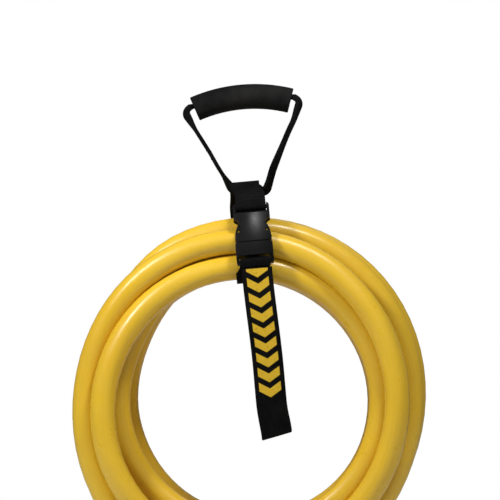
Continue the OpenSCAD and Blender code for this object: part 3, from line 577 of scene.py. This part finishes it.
# How far the band has slipped to the left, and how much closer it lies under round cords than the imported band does
TOP_SLIP = 4.4
BACK_SLIP = 1.8
FOOT_SLIP = 5.0
FOOT_LIFT = 5.4

def fade(value, start, way):
    """0 up to a start and 1 from a way past it. A negative way runs downwards."""
    return eased((value - start) / way)

def on_strap(u, y, z, s):
    """The band has slipped sideways over the handle and down the back, as a worn strap does."""
    if y < 0:
        slip = TOP_SLIP * fade(z, -97, 7)
        foot = fade(s, strap_run - 17, -15)
    else:
        slip = TOP_SLIP + BACK_SLIP * fade(z, -96, -16) - (TOP_SLIP + BACK_SLIP) * fade(z, -122, -40)
        foot = fade(z, -160, -15)
    slip += FOOT_SLIP * foot * fade(z, -135, -10)
    return lean @ Vector((STRAP_U + u - slip, y, z + FOOT_LIFT * fade(z, -172, -12)))

loop_strap, strap_length = strip("loop_strap_webbing", strap_line, [WEB_W / 2] * len(strap_line), on_strap)
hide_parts("loop_strap")
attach(loop_strap, "bundle")
print("loop strap", round(strap_length), "mm of webbing")

# %% [markdown]
# ## The strap's tail
# Below the buckle the free end hangs straight down, and its end is cut at a slant. A flat plate would do for its
# outline, but real webbing bows a little, drifts to one side and curls at its edges, so each point is placed on a bend.

# %% Tail
TAIL_L = 168.5
TAIL_SLANT = 6.0
TAIL_STEP = 4.0
DRIFT_TOP, DRIFT_MIDDLE, DRIFT_END = 0.6, 2.9, 2.6
BOW, SECOND_BOW, BOWS = 2.2, 0.5, 2.6
EDGE_CURL = 0.9
tail_hinge_z = tail_top - SEAT - WEB_T / 2
tail_line = closer([(tail_y, tail_hinge_z), (tail_y, tail_hinge_z - TAIL_L)], TAIL_STEP)

def on_tail(u, y, z, s):
    """The tail drifts sideways, bows forward, curls a little at its edges and ends in a slant."""
    share = s / TAIL_L
    slant = TAIL_SLANT * fade(share, 0.75, 0.25) * (0.5 + u / WEB_W)
    drift = DRIFT_TOP + DRIFT_MIDDLE * fade(share, 0, 0.6) + DRIFT_END * fade(share, 0.72, 0.28) ** 2
    bow = -BOW * math.sin(math.pi * share) - SECOND_BOW * math.sin(BOWS * math.pi * share)
    curl = EDGE_CURL * share * (u / (WEB_W / 2)) ** 2
    return lean @ Vector((STRAP_U + u + drift, y + bow + curl, z + slant))

tail, tail_length = strip("strap_tail_webbing", tail_line, [WEB_W / 2] * len(tail_line), on_tail)
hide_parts("strap_tail")
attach(tail, "tail")
print("tail", round(tail_length), "mm")

# %% [markdown]
# ## The handle's webbing
# The handle is one loop of doubled webbing: flat where it comes out of the grip, and folded narrow inside the grip and
# under the strap. Its line is drawn as it's seen from the front, so the strip is pulled out front to back. A plain loop
# would show only its edge, but real webbing lies turned where it's folded, and the turn runs up both legs.

# %% Handle loop
GRIP_BOW_R = 150.0
GRIP_L = 98.0
GRIP_D = 25.0
HANDLE_HALF_TOP = 57.0
HANDLE_HALF_BASE = 19.0
CORNER_R = 6.0
FOLDED_W = 17.0
FOLD_RISE = 7.0
OPEN_RISE = 31.0
HANDLE_STEP = 4.0
grip_half = GRIP_L / GRIP_BOW_R / 2
grip_end = (GRIP_BOW_R * math.sin(grip_half), -GRIP_BOW_R * (1 - math.cos(grip_half)))
corner_z = grip_end[1] - HANDLE_T / 2
handle_right = wrapped([
    (0, -HANDLE_DROP, 0, 1), (HANDLE_HALF_BASE - CORNER_R, -HANDLE_DROP + CORNER_R, CORNER_R, 1),
    (HANDLE_HALF_TOP - HANDLE_T / 2 - CORNER_R, corner_z - CORNER_R, CORNER_R, 1),
    (grip_end[0] + 0.5, grip_end[1] - 0.1, 0, 1)])
handle_top = [(GRIP_BOW_R * math.sin(a), GRIP_BOW_R * (math.cos(a) - 1))
              for a in (grip_half * (1 - k / 8) for k in range(17))]
handle_line = closer(handle_right + handle_top + [(-x, z) for x, z in reversed(handle_right)], HANDLE_STEP)

def handle_width(x, z):
    """Half the loop's width: narrow inside the grip and where the strap crosses it."""
    half, mouth = WEB_W / 2, grip_end[0] + 1
    if z > -GRIP_D:
        return FOLDED_W / 2 + (half - FOLDED_W / 2) * fade(abs(x), mouth, HANDLE_HALF_TOP - CORNER_R - mouth)
    return FOLD_HALF + (half - FOLD_HALF) * fade(z, FOLD_RISE - HANDLE_DROP, OPEN_RISE - FOLD_RISE)

handle_steps = [0.0]
for a, b in zip(handle_line, handle_line[1:]):
    handle_steps.append(handle_steps[-1] + math.dist(a, b))

# %% How the handle's webbing turns and hangs
# How much of its turned width shows at the foot and less further up, and how far its corners and legs are pulled, in mm
FOLD_TURN = 0.85
CORNER_S, CORNER_WAY = 86.0, 13.0
EXIT_S, EXIT_WAY = 109.0, 9.0
FOOT_SHOWN = 3.8
RIGHT_LOSES, RIGHT_LOSES_MORE, RIGHT_CORNER = 1.4, 1.2, 1.1
LEFT_LOSES, LEFT_CORNER = 3.5, 2.0
RIGHT_LIFT, LEFT_LIFT = 5.0, 4.0
RIGHT_SPREAD, LEFT_SPREAD = 1.0, -1.6
RIGHT_LEG_SPREAD, LEFT_LEG_SPREAD = -1.1, -1.0
FOOT_SAG = 4.2

def on_handle(u, y, z, s):
    """y and z of the line are the handle's x and z; u runs front to back. The fold lies turned under the strap, and
    the turn runs out up both legs. A hand pulls both corners up and a little outwards."""
    k = min(range(len(handle_line)), key=lambda i: math.dist(handle_line[i], (y, z)))
    way = (Vector(handle_line[min(k + 1, len(handle_line) - 1)]) - Vector(handle_line[max(k - 1, 0)])).normalized()
    far = min(handle_steps[k], handle_steps[-1] - handle_steps[k])
    loose = 1 - fade(far, EXIT_S, EXIT_WAY)
    at_corner = fade(far, CORNER_S, CORNER_WAY) * loose
    if y > 0:
        shown = FOOT_SHOWN - RIGHT_LOSES * fade(far, 14, 16) - RIGHT_LOSES_MORE * fade(far, 28, 42)
        shown, lift = shown + RIGHT_CORNER * at_corner, RIGHT_LIFT * at_corner
        spread = RIGHT_SPREAD * at_corner + RIGHT_LEG_SPREAD * fade(z, -20, -22) * fade(y, 8, 6)
        sag = FOOT_SAG * fade(y, 7, 8) * fade(z, -72, -16)
    else:
        shown = FOOT_SHOWN - LEFT_LOSES * fade(far, 12, 24) + LEFT_CORNER * at_corner
        lift, sag = LEFT_LIFT * at_corner, 0.0
        spread = LEFT_SPREAD * at_corner + LEFT_LEG_SPREAD * fade(z, -50, -20) * fade(y, -8, -6)
    turn = min(FOLD_TURN, shown / handle_width(y, z)) * loose
    flat = math.sqrt(1 - turn * turn)
    return lean @ Vector((y + turn * u * way.y + spread, flat * u, z - turn * u * way.x + lift - sag))

WEAVE_TRIM = 0.1
handle, handle_length = strip("handle_loop_webbing", handle_line, [handle_width(*p) - WEAVE_TRIM for p in handle_line],
                              on_handle, thickness=HANDLE_T - 2 * WEAVE_TRIM, slices=8, bevel_width=0.8)
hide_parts("handle_webbing")
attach(handle, "handle")
print("handle loop", round(handle_length), "mm")

# %% [markdown]
# ## Finish of the webbing
# The webbing is black polyester in a plain weave: short ribs that lie across the strap and step half a rib from one
# warp column to the next. The strip's map is in mm, so one formula gives every strap the same weave. It could be
# modelled thread by thread, but at this size a bump with a dull, slightly fuzzy shader, and shade painted into the
# hollows between the ribs, gives the same light.

# %% Group: woven ribs
RIB_MM = 1.35
COLUMN_MM = 1.0

def make_ribs():
    """Height of the weave from 0 to 1, from a map in mm, and a slow change from thread to thread."""
    group = bpy.data.node_groups.new("woven ribs", "ShaderNodeTree")
    group.interface.new_socket("Vector", in_out="INPUT", socket_type="NodeSocketVector")
    group.interface.new_socket("Height", in_out="OUTPUT", socket_type="NodeSocketFloat")
    group.interface.new_socket("Thread", in_out="OUTPUT", socket_type="NodeSocketFloat")
    start = group.nodes.new("NodeGroupInput")
    end = group.nodes.new("NodeGroupOutput")
    split = add(group, "ShaderNodeSeparateXYZ")
    group.links.new(start.outputs["Vector"], split.inputs[0])
    column = math_node(group, "DIVIDE", split.outputs["Y"], COLUMN_MM)
    number = math_node(group, "FLOOR", column)
    step = math_node(group, "MULTIPLY", math_node(group, "PINGPONG", number, 1.0), 0.5)
    row = math_node(group, "DIVIDE", split.outputs["X"], RIB_MM)
    rib = math_node(group, "FRACT", math_node(group, "ADD", row, step))
    rounded_rib = math_node(group, "SINE", math_node(group, "MULTIPLY", rib, math.pi))
    in_column = math_node(group, "FRACT", column)
    rounded_column = math_node(group, "SINE", math_node(group, "MULTIPLY", in_column, math.pi))
    height = math_node(group, "POWER", math_node(group, "MULTIPLY", rounded_rib, rounded_column), 0.6)
    group.links.new(height, end.inputs["Height"])
    cell = add(group, "ShaderNodeCombineXYZ")
    group.links.new(math_node(group, "MULTIPLY", split.outputs["X"], 0.05), cell.inputs["X"])
    group.links.new(number, cell.inputs["Y"])
    group.links.new(noise(group, cell.outputs[0], 1.7, 2.0), end.inputs["Thread"])
    return group

ribs = make_ribs()

# %% Black webbing
def woven(name, threads, light_threads, print_mask=None, ink=(0.74, 0.47, 0.035)):
    """Woven finish between two thread colours, with shade painted into the hollows between the ribs. A print mask, made
    from the map, lays ink on the ribs.
    """
    finish, tree, shader = new_finish(name, Roughness=0.78, Specular_IOR_Level=0.03)
    run = add(tree, "ShaderNodeUVMap", uv_map="run")
    weave = grouped(tree, ribs, run.outputs["UV"])
    marks = grouped(tree, handling, object_place(tree))
    colour = mixed(tree, ranged(tree, weave.outputs["Thread"], 0.35, 0.65, 0.0, 1.0), threads, light_threads)
    # Painted shade: where the weave is low, in the hollows between the ribs, the colour is darkened towards a third of
    # the thread colour.
    colour = mixed(tree, ranged(tree, weave.outputs["Height"], 0.15, 0.75, 0.65, 0.0), colour,
                   tuple(0.35 * c for c in threads))
    colour = mixed(tree, math_node(tree, "MULTIPLY", marks.outputs["Dust"], 0.05), colour, (0.12, 0.11, 0.10))
    if print_mask:
        inked, worn = print_mask(tree, run.outputs["UV"]), noise(tree, object_place(tree), 420.0, 3.0)
        cover = math_node(tree, "MULTIPLY", inked, ranged(tree, worn, 0.28, 0.40, 0.55, 1.0))
        cover = math_node(tree, "MULTIPLY", cover, ranged(tree, weave.outputs["Height"], 0.10, 0.45, 0.70, 1.0))
        colour = mixed(tree, cover, colour, ink)
    tree.links.new(colour, shader.inputs["Base Color"])
    fuzz = bump(tree, shader, noise(tree, object_place(tree), 3500.0, 2.0), 0.05, 0.4)
    bump(tree, shader, weave.outputs["Height"], 0.28, 0.9, fuzz)
    return finish

BLACK_THREADS = (0.003, 0.003, 0.0031)
LIGHT_THREADS = (0.006, 0.006, 0.0062)
black_webbing = woven("black webbing", BLACK_THREADS, LIGHT_THREADS)
loop_strap.data.materials.append(black_webbing)
handle.data.materials.append(black_webbing)

# %% [markdown]
# ## The tail's print
# The strap's free end carries a printed motif in yellow ink, so that it can be found in a dark locker. Here it's a
# plain row of arrowheads that point along the pull. The motif is drawn from the strip's map with a few Math nodes, so
# it bends with the webbing.

# %% Arrowheads
PRINT_START = 1.0
PRINT_HALF = 10.6
ARROWS = 9
ARROW_PITCH = 14.7
ARROW_SLOPE = 0.62
ARROW_SHARE = 0.60
INK_EDGE = 0.25

def between(tree, value, low, high, soft=INK_EDGE):
    """1 between two values, with edges as soft as ink."""
    up = ranged(tree, value, low - soft, low + soft, 0.0, 1.0)
    down = ranged(tree, value, high - soft, high + soft, 1.0, 0.0)
    return math_node(tree, "MULTIPLY", up, down)

def arrowheads(tree, run):
    """1 where a row of arrowheads is printed, on the front of the strap alone."""
    split = add(tree, "ShaderNodeSeparateXYZ")
    tree.links.new(run, split.inputs[0])
    across = math_node(tree, "ABSOLUTE", split.outputs["Y"])
    bent = math_node(tree, "ADD", split.outputs["X"], math_node(tree, "MULTIPLY", across, ARROW_SLOPE))
    bent = math_node(tree, "SUBTRACT", bent, PRINT_START)
    turn = math_node(tree, "FRACT", math_node(tree, "DIVIDE", bent, ARROW_PITCH))
    stripe = between(tree, turn, 0.02, ARROW_SHARE, 0.015)
    field = math_node(tree, "MULTIPLY", between(tree, bent, -1.0, (ARROWS - 0.3) * ARROW_PITCH),
                      between(tree, across, -1.0, PRINT_HALF))
    begun = ranged(tree, split.outputs["X"], PRINT_START - INK_EDGE, PRINT_START + INK_EDGE, 0.0, 1.0)
    field = math_node(tree, "MULTIPLY", field, begun)
    faces = add(tree, "ShaderNodeSeparateXYZ")
    tree.links.new(add(tree, "ShaderNodeTexCoord").outputs["Normal"], faces.inputs[0])
    front = math_node(tree, "LESS_THAN", faces.outputs["Y"], -0.3)
    return math_node(tree, "MULTIPLY", math_node(tree, "MULTIPLY", stripe, field), front)

tail.data.materials.append(woven("black webbing with arrowheads", BLACK_THREADS, LIGHT_THREADS, arrowheads))
print("arrowheads:", ARROWS)

# %% [markdown]
# ## Finishes of the hard pieces
# The grip, buckle and housings are black mouldings, but they don't look alike: the grip is dull foam rubber, the
# buckle is hard and glossy, and the housings have a fine grain. One function builds them all from the same parts: a
# colour with a slow drift, dust, rubbed edges and a grain. The brass and steel pieces are metals with drawn lines.

# %% Mouldings
def moulded(name, colour, rubbed, rough, grain_scale, grain_mm, wear=0.5, wear_width=0.0005, dust=0.06, **sockets):
    """A moulding's finish: a colour that drifts slowly, dust, rubbed edges and a grain of a depth in mm."""
    finish, tree, shader = new_finish(name, **sockets)
    place = object_place(tree)
    marks = grouped(tree, handling, place)
    worn = grouped(tree, edge_wear, place, Width=wear_width)
    drift = mixed(tree, ranged(tree, noise(tree, place, 30.0, 3.0), 0.3, 0.7, 0.0, 1.0), colour,
                  tuple(1.35 * c for c in colour))
    dusty = mixed(tree, math_node(tree, "MULTIPLY", marks.outputs["Dust"], dust), drift, (0.20, 0.19, 0.17))
    edged = mixed(tree, math_node(tree, "MULTIPLY", worn.outputs["Wear"], wear), dusty, rubbed)
    tree.links.new(edged, shader.inputs["Base Color"])
    slow = ranged(tree, noise(tree, place, 55.0, 4.0), 0.3, 0.7, rough - 0.05, rough + 0.07)
    scratched = math_node(tree, "ADD", slow, math_node(tree, "MULTIPLY", marks.outputs["Marks"], 0.18), clamp=True)
    tree.links.new(scratched, shader.inputs["Roughness"])
    grain = bump(tree, shader, noise(tree, place, grain_scale, 3.0, 0.6), grain_mm, 0.7)
    bump(tree, shader, noise(tree, place, 140.0, 2.0), 0.05, 0.25, grain)
    return finish

foam_rubber = moulded("foam rubber of the grip", (0.0045, 0.0045, 0.0047), (0.03, 0.03, 0.03), 0.74, 1500.0, 0.12,
                      wear=0.3, Specular_IOR_Level=0.05)
gloss_plastic = moulded("glossy buckle plastic", (0.0040, 0.0041, 0.0046), (0.05, 0.05, 0.055), 0.32, 2200.0, 0.012,
                        wear=0.35, wear_width=0.00035, dust=0.01, Specular_IOR_Level=0.12)
housing_plastic = moulded("grained housing plastic", (0.011, 0.011, 0.0115), (0.06, 0.06, 0.06), 0.48, 1700.0, 0.05,
                          wear=0.5, Specular_IOR_Level=0.45)
soft_rubber = moulded("black moulded rubber", (0.010, 0.010, 0.010), (0.04, 0.04, 0.04), 0.62, 1300.0, 0.06,
                      wear=0.35, Specular_IOR_Level=0.35)
face_plastic = moulded("hard face plastic", (0.020, 0.020, 0.021), (0.09, 0.09, 0.09), 0.36, 2400.0, 0.02,
                       wear=0.5, wear_width=0.0003, Specular_IOR_Level=0.5)

# %% Crown of the buckle's plates
CROWN_PER_MM = 0.0042
CROWN_ACROSS_PER_MM = 0.0088
CROWN_ASIDE = -8.0
CROWN_MIDDLE = 6.0

def crown(finish, middle):
    """The plates are moulded slightly domed along and across the strap, so the light fades from their middle."""
    tree, shader = finish.node_tree, finish.node_tree.nodes["Principled BSDF"]
    along = add(tree, "ShaderNodeVectorMath", operation="DOT_PRODUCT")
    tree.links.new(object_place(tree), along.inputs[0])
    way = lean @ Vector((0, along_y, along_z))
    along.inputs[1].default_value = way / MM
    off = math_node(tree, "SUBTRACT", along.outputs["Value"], way.dot(lean @ Vector((0, *on_buckle(middle)))))
    across = add(tree, "ShaderNodeVectorMath", operation="DOT_PRODUCT")
    tree.links.new(object_place(tree), across.inputs[0])
    side = lean @ Vector((1, 0, 0))
    across.inputs[1].default_value = side / MM
    aside = math_node(tree, "SUBTRACT", across.outputs["Value"], side.dot(lean @ Vector((STRAP_U + CROWN_ASIDE, 0, 0))))
    dome = math_node(tree, "ADD", math_node(tree, "MULTIPLY", math_node(tree, "MULTIPLY", off, off), -CROWN_PER_MM),
                     math_node(tree, "MULTIPLY", math_node(tree, "MULTIPLY", aside, aside), -CROWN_ACROSS_PER_MM))
    last = shader.inputs["Normal"].links[0].from_node
    domed = add(tree, "ShaderNodeBump", sockets={"Strength": 1.0, "Distance": MM})
    tree.links.new(dome, domed.inputs["Height"])
    first = last
    while first.inputs["Normal"].is_linked:
        first = first.inputs["Normal"].links[0].from_node
    tree.links.new(domed.outputs["Normal"], first.inputs["Normal"])
    return finish

crown(gloss_plastic, CROWN_MIDDLE)

# %% Metals and cores
def drawn_metal(name, colour, tarnished, rough, **sockets):
    """Metal with lines along its length, a slow tarnish and bright rubbed edges."""
    finish, tree, shader = new_finish(name, Metallic=1.0, **sockets)
    place = object_place(tree)
    stretch = add(tree, "ShaderNodeMapping")
    stretch.inputs["Scale"].default_value = (60.0, 1600.0, 1600.0)
    tree.links.new(place, stretch.inputs["Vector"])
    lines = noise(tree, stretch.outputs["Vector"], 1.0, 3.0)
    worn = grouped(tree, edge_wear, place, Width=0.0003)
    tarnish = ranged(tree, noise(tree, place, 90.0, 4.0, 0.6), 0.42, 0.72, 0.0, 0.75)
    aged = mixed(tree, tarnish, colour, tarnished)
    bright = mixed(tree, math_node(tree, "MULTIPLY", worn.outputs["Wear"], 0.6), aged,
                   tuple(min(1.0, 1.15 * c) for c in colour))
    tree.links.new(bright, shader.inputs["Base Color"])
    tree.links.new(ranged(tree, lines, 0.3, 0.7, rough - 0.06, rough + 0.10), shader.inputs["Roughness"])
    bump(tree, shader, lines, 0.02, 0.5)
    return finish

brass = drawn_metal("drawn brass", (0.78, 0.57, 0.27), (0.50, 0.33, 0.13), 0.26)
zinc_steel = drawn_metal("zinc plated steel", (0.66, 0.67, 0.69), (0.42, 0.42, 0.43), 0.30)

def core_plastic(name, colour):
    """The sleeve of one conductor: smooth, slightly shiny and powdered with talc."""
    return moulded(name, colour, tuple(0.6 + 0.4 * c for c in colour), 0.40, 1800.0, 0.02, wear=0.1, dust=0.15)

core_black = core_plastic("black core", (0.012, 0.012, 0.012))
core_red = core_plastic("red core", (0.42, 0.02, 0.012))
core_white = core_plastic("white core", (0.70, 0.70, 0.66))
core_green = core_plastic("green core", (0.02, 0.19, 0.06))
thread = moulded("polyester thread", (0.006, 0.006, 0.0065), (0.03, 0.03, 0.03), 0.55, 4200.0, 0.08, wear=0.0,
                 Specular_IOR_Level=0.06)

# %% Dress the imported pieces
DRESSED = [
    (foam_rubber, "grip_sleeve"), (thread, "handle_stitching", "strap_stitching"),
    (gloss_plastic, "buckle_female", "buckle_male", "prong_left", "prong_right"),
    (housing_plastic, "plug_body", "connector_body", "locking_ring"),
    (soft_rubber, "plug_strain_relief", "connector_strain_relief", "ring_gasket"),
    (face_plastic, "plug_face", "connector_insert"),
    (brass, "blade_hot_x", "blade_hot_y", "blade_neutral", "ground_pin", "contacts_hot", "contact_neutral",
     "contact_ground"),
    (zinc_steel, "plug_screws"), (core_black, "conductor_black"), (core_red, "conductor_red"),
    (core_white, "conductor_white"), (core_green, "conductor_green")]
for finish, *names in DRESSED:
    for name in names:
        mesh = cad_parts[name].data
        mesh.materials.clear()
        mesh.materials.append(finish)
print("dressed", sum(len(row) - 1 for row in DRESSED), "packed pieces")

# %% [markdown]
# ## Stitching
# Bar tacks hold the folded ends: a dense zigzag of thread, sewn across the webbing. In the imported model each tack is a
# thin bar. Here each is a real zigzag, because the separate stitches catch the light: one poly spline that goes from
# side to side, with a round thread bevelled on it.

# %% Zigzag tacks
TACK_W = 2.0
STITCH_PITCH = 1.0
THREAD_R = 0.34
TACK_INSET = 3.5

def tacks(name, rows, replaced, body):
    """Rows are lists of points in mm, each one bar tack's zigzag."""
    line = bpy.data.curves.new(name, "CURVE")
    line.dimensions = "3D"
    line.bevel_depth = 1.0
    line.bevel_resolution = 1
    line.use_fill_caps = True
    for row in rows:
        spline = line.splines.new("POLY")
        spline.points.add(len(row) - 1)
        for spot, p in zip(spline.points, row):
            spot.co, spot.radius = (*(p * MM), 1), THREAD_R * MM
    piece = bpy.data.objects.new(name, line)
    bpy.context.scene.collection.objects.link(piece)
    line.materials.append(thread)
    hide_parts(replaced)
    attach(piece, body)
    print(name, len(rows), "tacks,", len(rows[0]), "stitches in the first")
    return piece

def zigzag(half_length):
    """Across and along offsets of one tack's stitches."""
    stitches, reach = round(2 * half_length / STITCH_PITCH), TACK_W / 2 - THREAD_R
    return [(-half_length + k * STITCH_PITCH, reach * (1 if k % 2 else -1)) for k in range(stitches + 1)]

# %% Tacks on the doubled front run
run_way = heading((*female_bar, bar_wrap_r, -1), (0, -HANDLE_DROP, apex_r, -1))
face_y, face_z = math.sin(run_way), -math.cos(run_way)
run_l = math.dist(female_bar, (0, -HANDLE_DROP))
FRONT_TACKS = (17, 9)

def front_tack(s):
    """A tack at s below the handle, on the front face of the strap."""
    out = apex_r + WEB_T / 2 + THREAD_R * 0.6
    row = []
    for u, along in zigzag(WEB_W / 2 - TACK_INSET):
        far = s + along
        y = -out * face_y - far * math.cos(run_way)
        z = -HANDLE_DROP - out * face_z - far * math.sin(run_way)
        row.append(on_strap(u, y, z, 0))
    return row

tacks("strap_bar_tacks", [front_tack(run_l - up) for up in FRONT_TACKS], "strap_stitching", "bundle")

# %% Tacks on the handle's legs
LEG_TACKS = (34.0, 44.0)

def leg_tacks():
    """Three tacks on each leg: two above the fold and one below the corner."""
    base = (HANDLE_HALF_BASE - CORNER_R, -HANDLE_DROP + CORNER_R)
    corner = (HANDLE_HALF_TOP - HANDLE_T / 2 - CORNER_R, corner_z - CORNER_R)
    way = heading((*base, CORNER_R, 1), (*corner, CORNER_R, 1))
    normal = (math.sin(way), -math.cos(way))
    foot = tuple(base[i] + (CORNER_R + HANDLE_T / 2 - 0.1) * normal[i] for i in range(2))
    leg_l = math.dist(foot, (HANDLE_HALF_TOP - HANDLE_T / 2, corner_z - CORNER_R)) - 8
    rows = []
    for side in (1, -1):
        for s in (*LEG_TACKS, leg_l):
            row = []
            for u, along in zigzag(WEB_W / 2 - TACK_INSET):
                x = foot[0] + (s + along) * math.cos(way)
                z = foot[1] + (s + along) * math.sin(way)
                row.append(on_handle(u, side * x, z, 0))
            rows.append(row)
    return rows

tacks("handle_bar_tacks", leg_tacks(), "handle_stitching", "handle")

# %% [markdown]
# ## The tail's sealed end
# Cut webbing frays, so its end is sealed with a hot knife, which leaves a hard glossy bead. It's one short line along
# the slanted cut, on the same bend as the tail.

# %% Bead
BEAD_R = 0.92
BEAD_INSET = 0.6
BEAD_STEPS = 12
end_z = tail_hinge_z - TAIL_L + 0.2
bead_line = [on_tail(-WEB_W / 2 + BEAD_INSET + k * (WEB_W - 2 * BEAD_INSET) / BEAD_STEPS, tail_y, end_z, TAIL_L)
             for k in range(BEAD_STEPS + 1)]
bead = bevelled_line("tail_sealed_end", bead_line, BEAD_R, smooth_steps=2)
bead.data.materials.append(gloss_plastic)
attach(bead, "tail")

# %% [markdown]
# ## Softened edges
# Moulded edges are never quite sharp, and the thin line of light on a rounded edge tells the eye that a thing is
# moulded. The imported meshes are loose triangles, so a Weld joins their corners first and a Bevel then rounds only the
# sharp edges. Both are modifiers, and the meshes stay as they were packed.

# %% Weld and bevel
ROUNDED = {"buckle_female": 0.35, "buckle_male": 0.35, "prong_left": 0.25, "prong_right": 0.25, "grip_sleeve": 0.8,
           "plug_body": 0.5, "connector_body": 0.5, "locking_ring": 0.4, "plug_face": 0.3, "connector_insert": 0.3,
           "plug_strain_relief": 0.4, "connector_strain_relief": 0.4}
for name, radius in ROUNDED.items():
    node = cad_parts[name]
    weld = node.modifiers.new("join corners", "WELD")
    weld.merge_threshold = 0.00001
    edge = node.modifiers.new("moulded edges", "BEVEL")
    edge.width = radius * MM
    edge.segments = 2
    edge.limit_method = "ANGLE"
    edge.angle_limit = math.radians(35)
    edge.use_clamp_overlap = True
    edge.harden_normals = False
print("softened", len(ROUNDED), "mouldings")
